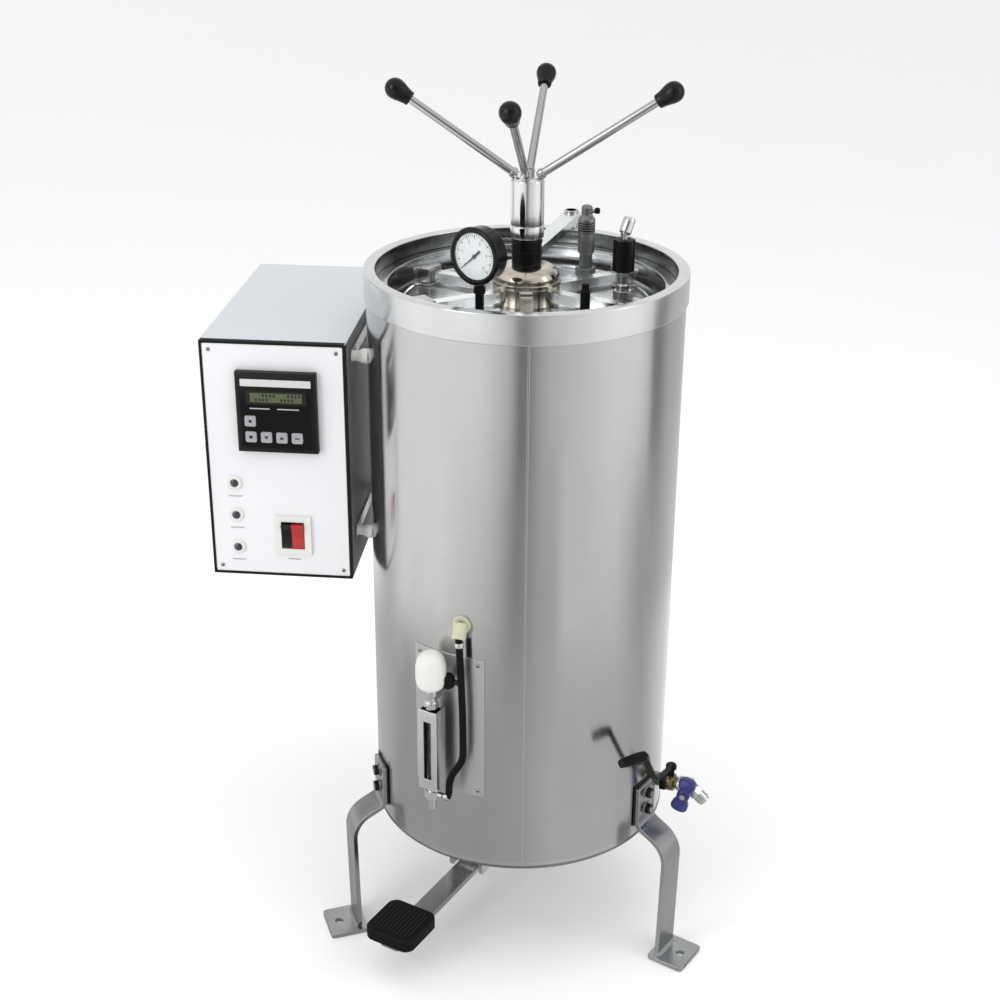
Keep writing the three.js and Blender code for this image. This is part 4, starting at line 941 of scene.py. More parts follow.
def knob_outline(start):
    """An egg with a blind bore in its narrow end."""
    length, neck, widest, share = KNOB_LENGTH - 0.1, 8.3, 12.0, 0.64
    outline = [(0, start + 9.3), (5.1, start + 9.3), (5.1, start), (neck - 1, start), (neck, start + 1)]
    steps = 14
    for k in range(1, steps + 1):
        swell = (1 - math.cos(math.pi * k / steps)) / 2
        outline.append((neck + (widest - neck) * swell, start + 1 + (share * length - 1) * k / steps))
    for k in range(1, steps):
        angle = math.pi / 2 * k / steps
        outline.append((widest * math.cos(angle), start + length * (share + (1 - share) * math.sin(angle))))
    outline.append((0, start + length))
    return outline


INK_DEPTH = 0.15


def dial_text(name, text, size, place, material):
    """A flat raised number, a mesh made from Blender's own font."""
    data = bpy.data.curves.new(name, "FONT")
    data.body = text
    data.align_x = data.align_y = "CENTER"
    data.size = size * MM
    data.extrude = INK_DEPTH * MM / 2
    data.resolution_u = 3
    source = bpy.data.objects.new(name + "_curve", data)
    bpy.context.scene.collection.objects.link(source)
    bpy.context.view_layer.update()
    graph = bpy.context.evaluated_depsgraph_get()
    mesh = bpy.data.meshes.new_from_object(source.evaluated_get(graph))
    bpy.data.objects.remove(source)
    obj = bpy.data.objects.new(name, mesh)
    bpy.context.scene.collection.objects.link(obj)
    mesh.materials.clear()
    mesh.materials.append(material)
    place = place.copy()
    place.translation = place.translation * MM
    obj.matrix_world = Matrix.Translation(AXIS) @ place
    return obj


DIAL_FACE_RADIUS = 27.5
CASE_SHARE = 0.95
DIAL_SWEEP = 264
DIAL_MARKS, MARKS_PER_NUMBER, DIAL_NUMBERS = 41, 4, 6


def pressure_gauge():
    centre = local_point("needle_swing")
    facing = azimuth_of([-v for v in JOINTS["needle_swing"]["axis"]])
    stand = Matrix.Translation(centre) @ rotated(facing, "Z")
    face = stand @ FACE_OUT @ Matrix.Scale(CASE_SHARE, 4)
    case = [(0, -13), (30, -13), (32.5, -10), (32.5, 7), (34.5, 8), (34.5, 11.4), (32.5, 13), (29.2, 13),
            (DIAL_FACE_RADIUS, 10.6), (DIAL_FACE_RADIUS, 9.6), (0, 9.6)]
    piece(lathe("gauge_case", case, GLOSS_BLACK, face, 96, 0.9), "lid", "plastic_black", "pressure_gauge")
    dial = lathe("gauge_dial", [(0, 9.5), (27.6, 9.5), (27.6, 9.9), (0, 9.9)], DIAL, face, 72, 0)
    piece(dial, "lid", "plastic_white")
    bm = bmesh.new()
    for k in range(DIAL_MARKS):
        long = k % MARKS_PER_NUMBER == 0
        angle = math.radians(DIAL_SWEEP * (k / (DIAL_MARKS - 1) - 0.5))
        spin = Matrix.Rotation(-angle, 4, "Z")
        width = 0.9 if long else 0.45
        length = 4.6 if long else 2.6
        add_prism(bm, rectangle(width, length, 0, 26.2 - length / 2), 9.9, 10.02, spin)
    piece(build("gauge_marks", bm, INK, face), "lid", "plastic_black")
    for k in range(DIAL_NUMBERS):
        angle = math.radians(DIAL_SWEEP * (k / (DIAL_NUMBERS - 1) - 0.5))
        spot = Matrix.Translation((17.6 * math.sin(angle), 17.6 * math.cos(angle), 9.95))
        piece(dial_text(f"gauge_number_{k}", str(k), 5.2, face @ spot, INK), "lid", "plastic_black")
    glass = lathe("gauge_window", [(0, 11.4), (28.4, 11.4), (28.4, 12.0), (0, 12.0)], GLASS, face, 72, 0)
    glass.visible_shadow = False
    piece(glass, "lid", "gauge_glass")
    foot = local_box("pressure_gauge")[0].z
    drop = centre.z - foot
    piece(rod("gauge_stem", 5, -drop, -30, BLACKENED, stand, 32, 0.4), "lid", "plastic_black")
    piece(hex_nut("gauge_nut", 16, -drop, -drop + 11.5, FITTING, stand, bevel=0.8), "lid", "steel_satin")
    piece(hex_nut("gauge_union", 13, -44, -36, BLACKENED, stand, bevel=0.8), "lid", "steel_satin")
    needle(face)


def needle(face):
    spin = rotated(DIAL_SWEEP / 2, "Z")
    hand = [(-1.8, -11), (1.8, -11), (1.2, 0), (0.4, 21.5), (-0.4, 21.5), (-1.2, 0)]
    bm = bmesh.new()
    add_prism(bm, hand, 10.35, 10.85, spin)
    add_lathe(bm, [(0, 10.1), (2.6, 10.1), (2.6, 11.2), (0, 11.3)], 32)
    piece(build("needle_hand", bm, INK, face, bevel=0.12), "needle", "plastic_black", "gauge_pointer")


def lid_fittings():
    low, high = local_box("sensor_post")
    centre = (low + high) / 2
    place = Matrix.Translation((centre.x, centre.y, 0))
    post = lathe(
        "sensor_stem",
        [(0, low.z), (5.6, low.z), (5.6, high.z - 9), (4.2, high.z - 7), (4.2, high.z), (0, high.z)],
        MATT_BLACK, place, 40, 0.8,
    )
    piece(post, "lid", "plastic_black", "sensor_post")
    piece(hex_nut("sensor_nut", 16.5, low.z, low.z + 9, BLACKENED, place, bevel=0.8), "lid", "steel_satin")
    steam_valve()
    safety_valve()


def steam_valve():
    point = local_point("steam_valve_turn")
    place = turned(azimuth_of(point), math.hypot(point.x, point.y))
    base = local_box("steam_valve_body")[0].z
    knob_low, knob_high = (b.z for b in local_box("steam_valve_knob"))
    nut = hex_nut("steam_base", 20, base, base + 11, FITTING, place, bevel=1)
    piece(nut, "lid", "steel_satin", "steam_valve_body")
    neck = lathe(
        "steam_neck",
        [
            (0, base + 10), (7.5, base + 10), (7.5, base + 17), (6, base + 19), (6, knob_low - 4),
            (7.5, knob_low - 3), (7.5, knob_low - 0.5), (4.4, knob_low - 0.5), (4.4, knob_high + 9),
            (0, knob_high + 9),
        ], FITTING, place, 40, 0.6,
    )
    piece(neck, "lid", "steel_satin")
    tip = place @ pointing((0, 0, knob_high + 6.5), (7, 3, knob_high + 27))
    spout = lathe(
        "steam_spout", [(0, 0), (6.2, 0), (7.4, 3), (7.4, 16), (6.2, 20), (4.2, 20.5), (4.2, 12), (0, 12)],
        CHROME, tip, 40, 0.8,
    )
    piece(spout, "lid", "steel_satin")
    outline = []
    for i in range(96):
        angle = 2 * math.pi * i / 96
        radius = 12 + 1.0 * math.cos(6 * angle)
        outline.append((radius * math.cos(angle), radius * math.sin(angle)))
    grip = prism(
        "steam_grip", outline, knob_low, knob_high, MATT_BLACK, place, bevel=2, segments=3, crease=40,
    )
    bore = rod("bore", 4.9, knob_low - 2, knob_high + 2, MATT_BLACK, place, 32, 0)
    grip.modifiers.clear()
    carve(grip, bore)
    soften_edges(grip, 1.6, 3, 50)
    piece(grip, "steam_knob", "plastic_black", "steam_valve_knob")


def safety_valve():
    gap = local_box("safety_valve_cap")[0].z
    body_low = local_box("safety_valve_body")[0]
    place = turned(SAFETY_AZIMUTH, SAFETY_ORBIT)
    nut = hex_nut("safety_base", 22, body_low.z, body_low.z + 11.5, DULL_STEEL, place, bevel=1)
    piece(nut, "lid", "steel_satin", "safety_valve_body")
    neck = lathe(
        "safety_neck",
        [
            (0, body_low.z + 11), (8, body_low.z + 11), (8, body_low.z + 28), (10.4, body_low.z + 31),
            (10.4, gap - 0.5), (3, gap - 0.5), (3, gap + 9), (0, gap + 9),
        ], DULL_STEEL, place, 48, 0.7,
    )
    piece(neck, "lid", "steel_satin")
    cap = lathe(
        "safety_cap",
        [
            (0, gap + 15), (3.4, gap + 15), (3.4, gap), (10.4, gap), (10.4, gap + 17), (8, gap + 20),
            (6.8, gap + 22), (6.8, gap + 31), (5, gap + 33.5), (0, gap + 33.5),
        ], DULL_STEEL, place, 48, 0.7,
    )
    piece(cap, "safety_cap", "steel_satin", "safety_valve_cap")
    ribs = [
        ring(
            f"safety_rib_{i}", 10.2, 10.5, gap + 3 + i * 3, gap + 4.4 + i * 3, BLACKENED, place, 48, 0.2,
        ) for i in range(4)
    ]
    for rib in ribs:
        piece(rib, "safety_cap", "steel_satin")
    arm = tube(
        "safety_lever", [(0, 0, gap + 25.5), (0, -9, gap + 27.5), (0, -17, gap + 29.5)], 2.6, DULL_STEEL,
        place,
    )
    piece(arm, "safety_cap", "steel_satin")
    ball = lathe("safety_lever_tip", [(0, -4), (3.0, -3.2), (3.5, 0), (3.0, 3.2), (0, 4)], MATT_BLACK,
                 place @ Matrix.Translation((0, -15, gap + 29)), 24, 1.0)
    piece(ball, "safety_cap", "plastic_black")


# ---- control box ----
BOX_LOW, BOX_HIGH = local_box("control_housing")
FRONT = local_box("front_panel")[0].y


def on_panel(x, z):
    """Local +Z points out of the front panel."""
    return Matrix.Translation((x, FRONT, z)) @ FACE_OUT


def screw(name, place):
    """A small domed cross-head screw."""
    radius = 2.6
    head = lathe(
        name, [(0, 0), (radius, 0), (radius * 0.95, 0.7), (radius * 0.6, 1.5), (0, 1.8)], FITTING, place,
        32, 0.3,
    )
    piece(head, "frame", "steel_satin")
    bm = bmesh.new()
    for turn in (20, 110):
        add_prism(bm, rectangle(radius * 1.1, radius * 0.22), 1.2, 1.86, rotated(turn, "Z"))
    piece(build(name + "_slot", bm, BLACKENED, place), "frame", "steel_satin")


def control_box():
    for node, width in (
        ("control_housing", 0.8), ("front_panel", 0.5), ("controller_case", 1.6), ("switch_frame", 0.9),
    ):
        soften_edges(frame["nodes"][node], width, 2)
    places = {
        "top_left": (BOX_LOW.x + 11, BOX_HIGH.z - 11), "top_right": (BOX_HIGH.x - 11, BOX_HIGH.z - 11),
        "bottom_left": (BOX_LOW.x + 11, BOX_LOW.z + 11), "bottom_right": (BOX_HIGH.x - 11, BOX_LOW.z + 11),
    }
    for name, (x, z) in places.items():
        screw(f"panel_screw_{name}", on_panel(x, z))
    panel_trim()
    side_sheet()
    indicators()
    instrument()
    rocker_switch()
    spacers()
    vents()


def side_sheet():
    """A dark sheet lapped over the side of the housing that faces the vessel: painted shade for that side,
    which stands in the gap beside the vessel.
    """
    low, high = local_box("control_housing")
    sheet = prism(
        "side_sheet", rectangle(0.25, high.y - low.y - 9, high.x + 0.13, (low.y + high.y) / 2 + 3.5),
        low.z + 1.5, high.z - 1.5, SIDE_SHADE_PAINT, bevel=0,
    )
    piece(sheet, "frame", "powder_grey")


def panel_trim():
    """A dark strip over the edge of the housing, round the panel."""
    width, height = BOX_HIGH.x - BOX_LOW.x, BOX_HIGH.z - BOX_LOW.z
    place = on_panel((BOX_LOW.x + BOX_HIGH.x) / 2, (BOX_LOW.z + BOX_HIGH.z) / 2)
    outer = prism("panel_trim", soft_rectangle(width + 0.1, height + 0.1, 1.2), -7, 0.7, RUBBER, place,
                  bevel=0)
    inner = prism("inside", soft_rectangle(width - 6.6, height - 6.6, 1.6), -9, 9, RUBBER, place,
                  bevel=0)
    shell_space = prism("space", rectangle(width - 0.05, height - 0.05), -9, -0.75, RUBBER, place, bevel=0)
    carve(outer, inner, shell_space)
    soften_edges(outer, 0.3)
    piece(outer, "frame", "rubber_black")


LAMP_X, LAMP_HEIGHTS = -344, (627, 585, 542)


def indicators():
    low, high = local_box("switch_frame")
    for k, z in enumerate(LAMP_HEIGHTS):
        place = on_panel(LAMP_X, z)
        bezel = lathe(
            f"lamp_bezel_{k + 1}", [(5, 0), (9.6, 0), (9.6, 1.0), (8.2, 2.4), (5, 2.4)], WHITE, place, 56,
            0.5, True,
        )
        piece(bezel, "frame", "plastic_white")
        lens = lathe(
            f"lamp_lens_{k + 1}", [(0, 0.2), (5, 0.2), (5, 2.2), (4.2, 3.6), (2.4, 4.6), (0, 4.9)], LENS,
            place, 48, 0.5,
        )
        piece(lens, "frame", "plastic_black")
        mark = prism(f"lamp_mark_{k + 1}", soft_rectangle(17, 2.0, 0.5, 0, -17.5), 0, 0.12, GREY,
                     place, bevel=0)
        piece(mark, "frame", "plastic_grey")
    mark = prism("switch_mark", soft_rectangle(16, 2.0, 0.5), 0, 0.12, GREY,
                 on_panel((low.x + high.x) / 2, low.z - 8), bevel=0)
    piece(mark, "frame", "plastic_grey")


def instrument():
    low, high = local_box("controller_case")
    face = low.y
    middle = (low + high) / 2

    def on_face(z):
        return Matrix.Translation((middle.x, face, z)) @ FACE_OUT

    strip = prism("display_strip", soft_rectangle(84, 9, 1), -0.5, 0.35, RIM_STEEL,
                  on_face(high.z - 13), bevel=0.2)
    piece(strip, "frame", "steel_satin")
    window_z = high.z - 31
    bezel = prism("display_bezel", soft_rectangle(72, 17, 2), -0.5, 0.5, GLOSS_BLACK,
                  on_face(window_z), bevel=0.3)
    piece(bezel, "frame", "plastic_black")
    window = prism("display_window", soft_rectangle(62, 11.5, 1), -0.5, 0.7, DISPLAY,
                   on_face(window_z), bevel=0.15)
    piece(window, "frame", "plastic_grey")
    bm = bmesh.new()
    for row in range(2):
        for column in range(14):
            if (column * 5 + row * 3) % 7 not in (0, 3, 5):
                cell = rectangle(2.4, 3.6, -28 + column * 4.3, 2.7 - row * 5.4)
                add_prism(bm, cell, 0.7, 0.76)
    piece(build("display_cells", bm, INK, on_face(window_z)), "frame", "plastic_black")
    bm = bmesh.new()
    for x, width in ((-20, 24), (14, 26)):
        add_prism(bm, rectangle(width, 1.3, x), 0, 0.12)
    piece(build("display_marks", bm, GREY, on_face(window_z - 14)), "frame", "plastic_grey")
    symbols = ["ring", "dot", "down", "up", "bar"]
    for k, symbol in enumerate(symbols):
        key_low, key_high = local_box(f"key_{k + 1}")
        width, height = key_high.x - key_low.x, key_high.z - key_low.z
        place = Matrix.Translation(
            ((key_low.x + key_high.x) / 2, key_low.y, (key_low.z + key_high.z) / 2)
        ) @ FACE_OUT
        outline = soft_rectangle(width, height, 2.4)
        cap = prism(f"key_cap_{k + 1}", outline, -4, -0.15, GREY, place, bevel=0.7, segments=3)
        piece(cap, f"button_{k + 1}", "plastic_grey", f"key_{k + 1}")
        legend = prism(f"key_legend_{k + 1}", key_symbol(symbol), -0.2, 0, INK, place, bevel=0)
        piece(legend, f"button_{k + 1}", "plastic_black")


def key_symbol(name):
    if name == "up":
        return [(-2.6, -1.8), (2.6, -1.8), (0, 2.4)]
    if name == "down":
        return [(-2.6, 1.8), (0, -2.4), (2.6, 1.8)]
    if name == "bar":
        return rectangle(5, 1.6)
    return ring_of_points(24 if name == "dot" else 6, 2.1)


def rocker_switch():
    pivot = local_point("rocker_tilt")
    low, high = local_box("power_rocker")
    reach = (high.x - low.x) / 2
    half = 16.4
    place = Matrix.Translation(pivot) @ rotated(8, "X")
    profile = [
        (-half, -5.8), (-half / 2, -4.2), (0, -3.4), (half / 2, -4.2), (half, -5.8), (half - 2, 6),
        (0, 9.6), (2 - half, 6),
    ]
    outline = rounded(profile, 1.4, closed=True)
    axes = Matrix(((0, 0, 1, 0), (0, 1, 0, 0), (1, 0, 0, 0), (0, 0, 0, 1)))
    split = -reach * 0.1
    for name, start, end, material, slot in (("rocker_dark", -reach, split, GLOSS_BLACK, "plastic_black"),
                                             ("rocker_red", split + 0.1, reach, RED, "plastic_red")):
        bm = bmesh.new()
        add_prism(bm, outline, start, end, axes)
        half_cap = build(name, bm, material, place, bevel=0.5)
        replaced = ("power_rocker",) if name == "rocker_red" else ()
        piece(half_cap, "rocker", slot, *replaced)


def spacers():
    """White bushes that hold the control box off the vessel, wider where they meet it."""
    for node in ("standoff_upper", "standoff_lower"):
        low, high = local_box(node)
        z = (low.z + high.z) / 2
        radius = (high.z - low.z) / 2
        for name, y in (("front", low.y + radius), ("rear", high.y - radius)):
            start = Vector((low.x, y, z))
            end = Vector((-math.sqrt(SHELL_RADIUS ** 2 - y ** 2), y, z))
            reach = (end - start).length
            outline = [
                (0, 0), (radius, 0), (radius * 0.86, 3), (radius * 0.86, reach - 12),
                (radius * 1.25, reach - 5), (radius * 1.25, reach + 1.5), (0, reach + 1.5),
            ]
            bush = lathe(f"{node}_{name}", outline, WHITE, pointing(start, end), 48, 1.2)
            piece(bush, "frame", "plastic_white", *((node,) if name == "front" else ()))
        rail = prism(f"{node}_rail", soft_rectangle(2.0, high.y - low.y, 0.5, 1.1, (low.y + high.y) / 2),
                     low.z + 0.5, high.z - 0.5, LEG_STEEL, Matrix.Translation((low.x, 0, 0)), bevel=0.3)
        piece(rail, "frame", "plastic_white")


def vents():
    """Louvre slots on the box's outer side, and the screws of its back."""
    side = Matrix.Translation((BOX_LOW.x, 0, 0)) @ rotated(-90, "Y")
    middle_y = (BOX_LOW.y + BOX_HIGH.y) / 2
    bm = bmesh.new()
    for k in range(8):
        z = BOX_LOW.z + 40 + k * 11
        add_prism(bm, soft_rectangle(4, 110, 1.9, z, middle_y), -0.1, 0.03)
    piece(build("box_vents", bm, BLACKENED, side), "frame", "powder_grey")
    for x in (BOX_LOW.x + 12, BOX_HIGH.x - 12):
        for z in (BOX_LOW.z + 14, BOX_HIGH.z - 14):
            place = Matrix.Translation((x, BOX_HIGH.y, z)) @ rotated(-90, "X")
            dimple = lathe(
                f"back_screw_{int(-x)}_{int(z)}", [(0, -0.3), (3, -0.3), (2.8, 0.0), (0, 0.0)], FITTING,
                place, 32, 0.1,
            )
            piece(dimple, "frame", "steel_satin")


# ---- level gauge ----
_low, _high = local_box("gauge_glass")
GAUGE_AZIMUTH = azimuth_of((_low + _high) / 2)
GAUGE_ORBIT = ((_low + _high) / 2).xy.length


PLATE_FROM, PLATE_TO = -37.8, -8.9
SLOT_BOTTOM, SLOT_TOP = 304, 384


def level_gauge():
    plate_low, plate_high = (b.z for b in local_box("gauge_plate"))
    inner = SHELL_RADIUS + 0.1
    outline = []
    steps = 24
    for k in range(steps + 1):
        outline.append(around(PLATE_FROM + (PLATE_TO - PLATE_FROM) * k / steps, inner + 1.2).xy)
    for k in range(steps + 1):
        outline.append(around(PLATE_TO + (PLATE_FROM - PLATE_TO) * k / steps, inner).xy)
    plate = prism("gauge_backplate", outline, plate_low, plate_high, HAZY_STEEL, bevel=0.3, crease=40)
    piece(plate, "frame", "steel_satin", "gauge_plate")
    for azimuth in (-35.5, -11.2):
        for z in (plate_low + 8, plate_high - 8):
            name = f"plate_screw_{int(-azimuth)}_{int(z)}"
            screw(name, turned(azimuth, inner + 1.2, z) @ LIE_OUT)
    stand = turned(GAUGE_AZIMUTH)
    low, high = (b.z for b in local_box("gauge_channel"))
    section = rounded(
        [(202, -13), (222, -13), (222, 13), (202, 13), (202, 11), (220, 11), (220, -11), (202, -11)], 0.8,
        closed=True,
    )
    channel = prism("gauge_guard", section, low, high, BRIGHT_STEEL, stand, bevel=0)
    cutter = prism("slot", rectangle(12, 10.4, 221), SLOT_BOTTOM, SLOT_TOP, LEG_STEEL, stand, bevel=0)
    carve(channel, cutter)
    soften_edges(channel, 0.4, 2)
    piece(channel, "frame", "steel_satin", "gauge_channel")
    back = prism("gauge_back", rectangle(1, 21, 205), low + 1, high - 1, MATT_BLACK, stand, bevel=0.2)
    piece(back, "frame", "plastic_black")
    glass_low, glass_high = (b.z for b in local_box("gauge_glass"))
    column = turned(GAUGE_AZIMUTH, GAUGE_ORBIT)
    glass = ring("sight_tube", 3.4, 4.9, glass_low, glass_high, GLASS, column, 40, 0.2)
    piece(glass, "frame", "gauge_glass", "gauge_glass")
    core = rod("sight_core", 3.2, glass_low + 1, glass_high - 1, GLOSS_BLACK, column, 32, 0.3)
    piece(core, "frame", "plastic_black")
    gauge_cap(column)
    gauge_foot(column)
    hose()


def gauge_cap(column):
    top = local_box("gauge_cap")[1].z
    start = local_box("gauge_channel")[1].z + 1
    base = 427
    cap = lathe(
        "gauge_cap_skin",
        [
            (0, base), (12, base), (16.5, base + 4), (18.4, base + 11), (18.4, top - 18), (15.5, top - 7),
            (8, top - 1), (0, top),
        ], WHITE, column, 64, 3,
    )
    piece(cap, "frame", "plastic_white", "gauge_cap")
    neck = lathe(
        "gauge_neck",
        [
            (0, start), (7.8, start), (7.8, start + 8), (6.6, start + 10), (6.6, start + 16),
            (8.6, start + 18), (8.6, base + 1), (0, base + 1),
        ], RIM_STEEL, column, 48, 0.7,
    )
    piece(neck, "frame", "steel_satin")
    nut = hex_nut("gauge_neck_nut", 16, start + 0.5, start + 8, RIM_STEEL, column, bevel=0.8)
    piece(nut, "frame", "steel_satin")
    gauge_feed("gauge_upper_feed", 411)


def gauge_feed(name, height):
    """The pipe from the vessel to the sight tube's fitting."""
    place = turned(GAUGE_AZIMUTH, 0, height)
    path = [place @ Vector((reach, 0, 0)) for reach in (SHELL_RADIUS + 1, GAUGE_ORBIT)]
    piece(tube(name, path, 4.5, FITTING), "frame", "steel_satin")


def gauge_foot(column):
    low, high = (b.z for b in local_box("gauge_foot"))
    body = lathe(
        "gauge_foot_skin", [(0, low), (4.6, low), (4.6, low + 13), (7, low + 14), (7, high), (0, high)],
        RIM_STEEL, column, 40, 0.7,
    )
    piece(body, "frame", "steel_satin", "gauge_foot")
    nut = hex_nut("gauge_foot_nut", 17, low + 16, low + 27, RIM_STEEL, column, bevel=0.8)
    piece(nut, "frame", "steel_satin")
    place = turned(GAUGE_AZIMUTH, 0, low + 22)
    gauge_feed("gauge_lower_feed", low + 22)
    nipple = tube(
        "gauge_nipple", [place @ Vector((GAUGE_ORBIT, 0, 0)), place @ Vector((GAUGE_ORBIT, 15, 0))], 4,
        FITTING,
    )
    piece(nipple, "frame", "steel_satin")


HOSE_STATIONS = [
    (-17.4, 190, 508), (-17.2, 199, 504), (-16.6, 202, 484), (-16, 202, 440), (-15.5, 202, 390),
    (-15.4, 202, 345), (-15.7, 203, 331), (-17, 205.5, 321), (-18.4, 209, 312), (-19.2, 211.5, 300),
    (-19.4, 212, 288), (-19.8, 212, 282), (-21, 212, 280),
]


def hose():
    route = smooth_path([around(*station) for station in HOSE_STATIONS])
    piece(tube("hose_skin", route, 4.3, RUBBER, sides=28), "frame", "rubber_black", "gauge_hose")
    for k, share in enumerate((0.16, 0.94)):
        i = int(share * (len(route) - 1))
        clip = ring(
            f"hose_clip_{k + 1}", 4.2, 5.4, -3, 3, RIM_STEEL, pointing(route[i], route[i + 1]), 40, 0.4,
        )
        piece(clip, "frame", "steel_satin")
    # The sleeve and flange at the hose's entry are ivory: a painted reflection of the yellowish glint in the
    # shell there.
    sleeve = ring("hose_sleeve", 4.3, 8.5, -3, 17, IVORY_REFLECTION, pointing(route[2], route[12]), 48, 2)
    piece(sleeve, "frame", "silicone_seal")
    flange = ring("hose_flange", 4.3, 11, -1, 3, IVORY_REFLECTION, turned(-17.4, SHELL_RADIUS, 507) @ LIE_OUT, 48, 1)
    piece(flange, "frame", "silicone_seal")
    knob = turned(-20.4, 205, 438)
    union = lathe(
        "hose_union", [(0, -8), (6.4, -8), (8, -6), (8, 6), (6.4, 8), (0, 8)], MATT_BLACK, knob, 40, 1.0,
    )
    piece(union, "frame", "plastic_black")
    stub = tube(
        "hose_union_arm", [around(-24, 207, 440), around(-20.4, 205, 438), around(-16.5, 203, 437)], 3.4,
        MATT_BLACK,
    )
    piece(stub, "frame", "plastic_black")


# ---- drain line ----
OUTLET_START = 218
TAIL_DROOP = 40


def drain():
    lever_point = local_point("drain_lever_turn")
    wing_point = local_point("outlet_wing_turn")
    azimuth = azimuth_of(wing_point)
    height = wing_point.z
    axis = turned(azimuth, 0, height) @ LIE_OUT
    start = 196
    nut = hex_nut("drain_nut", 24, start, start + 8, BLACKENED, axis, bevel=1.1)
    piece(nut, "frame", "brass_plated", "drain_valve_body")
    body = lathe(
        "drain_body",
        [
            (0, start + 7), (11, start + 7), (11.6, start + 12), (11, start + 18), (8, start + 18),
            (8, OUTLET_START - 0.3), (0, OUTLET_START - 0.3),
        ], BRASS, axis, 48, 1.0,
    )
    piece(body, "frame", "brass_plated")
    stub = tube("drain_stub", [turned(azimuth, 0, height) @ Vector((SHELL_RADIUS - 3, 0, 0)),
                               turned(azimuth, 0, height) @ Vector((start + 1, 0, 0))], 8.9, BRASS, sides=32)
    piece(stub, "frame", "brass_plated")
    upright = turned(azimuth, math.hypot(lever_point.x, lever_point.y), height)
    piece(rod("drain_stem", 4.6, 0, 20, BLACKENED, upright, 32, 0.5), "frame", "steel_satin")
    boss = lathe(
        "lever_boss", [(0, 20.3), (7, 20.3), (7, 25), (5, 27), (0, 27)], MATT_BLACK, upright, 40, 0.6,
    )
    piece(boss, "drain_handle", "plastic_black", "drain_lever")
    shank = tube(
        "lever_shank",
        smooth_path([(0, -2, 24), (-2, -34, 31), (-4, -62, 43), (-6.4, -86, 76), (-8, -98, 94)]),
        lambda t: 3.2 + 1.2 * t, MATT_BLACK, upright,
    )
    piece(shank, "drain_handle", "plastic_black")
    grip_path = smooth_path([(-7.4, -97, 96), (-15, -112, 98), (-28, -130, 98)])
    grip = tube("lever_grip", grip_path, lambda t: 6.4 - 1.4 * (2 * t - 1) ** 4, RUBBER, upright, 28)
    piece(grip, "drain_handle", "rubber_black")
    outlet(axis, azimuth, wing_point, height)
    wing(azimuth, wing_point, height)


def outlet(axis, azimuth, point, height):
    start = OUTLET_START
    body = lathe(
        "outlet_body",
        [
            (0, start), (10, start), (10, start + 6), (9, start + 8), (11.5, start + 10),
            (11.5, start + 18), (9.5, start + 20), (0, start + 20),
        ], RIM_STEEL, axis, 56, 0.7,
    )
    piece(body, "frame", "steel_satin", "outlet_valve_body")
    piece(hex_nut("outlet_nut", 22, start + 3, start + 9, RIM_STEEL, axis, bevel=1), "frame", "steel_satin")
    elbow = turned(azimuth, point.xy.length + 2, height)
    tail = elbow @ rotated(90 + TAIL_DROOP, "Y")
    pipe = lathe(
        "outlet_tail", [(0, 0), (8.5, 0), (8.5, 22), (7.6, 25), (7.6, 27), (6.4, 27), (6.4, 8), (0, 8)],
        RIM_STEEL, tail, 56, 0.5,
    )
    piece(pipe, "frame", "steel_satin")
    union = hex_nut("outlet_union", 18, 6, 14, RIM_STEEL, tail, bevel=0)
    bore = rod("bore", 6.3, 2, 20, RIM_STEEL, tail, 32, 0)
    carve(union, bore)
    soften_edges(union, 0.9)
    piece(union, "frame", "steel_satin")
    for k in range(3):
        start = 16 + k * 3
        barb = ring(f"outlet_barb_{k + 1}", 8.2, 9.0, start, start + 1.4, RIM_STEEL, tail, 48, 0.4)
        piece(barb, "frame", "steel_satin")


def wing(azimuth, point, height):
    place = turned(azimuth, math.hypot(point.x, point.y), height) @ rotated(15, "Y")
    right = [(6.4, 0), (6.8, 6), (10.4, 13), (11.4, 19), (9, 23.6), (3.5, 25.4)]
    half = right + [(-x, z) for x, z in right[::-1]]
    outline = rounded(half + [(-x, -z) for x, z in half[1:-1]], 3, closed=True)
    bm = bmesh.new()
    add_prism(bm, outline, 17.3, 26.3, FACE_OUT)
    handle = build("wing_handle", bm, BLUE, place, crease=25, bevel=2.2, segments=4)
    piece(handle, "outlet_handle", "plastic_blue", "outlet_wing")
    boss = lathe(
        "wing_boss", [(0, 17.5), (8.4, 17.5), (8.4, 26), (6.5, 27.6), (0, 27.6)], BLUE, place @ FACE_OUT,
        40, 0.9,
    )
    piece(boss, "outlet_handle", "plastic_blue")
    bolt = hex_nut("wing_bolt", 7, 27.4, 30, FITTING, place @ FACE_OUT, bevel=0.5)
    piece(bolt, "outlet_handle", "steel_satin")
    stem = rod(
        "wing_stem", 5, 4, 17, RIM_STEEL, turned(azimuth, math.hypot(point.x, point.y), height) @ FACE_OUT,
        32, 0.5,
    )
    piece(stem, "frame", "steel_satin")


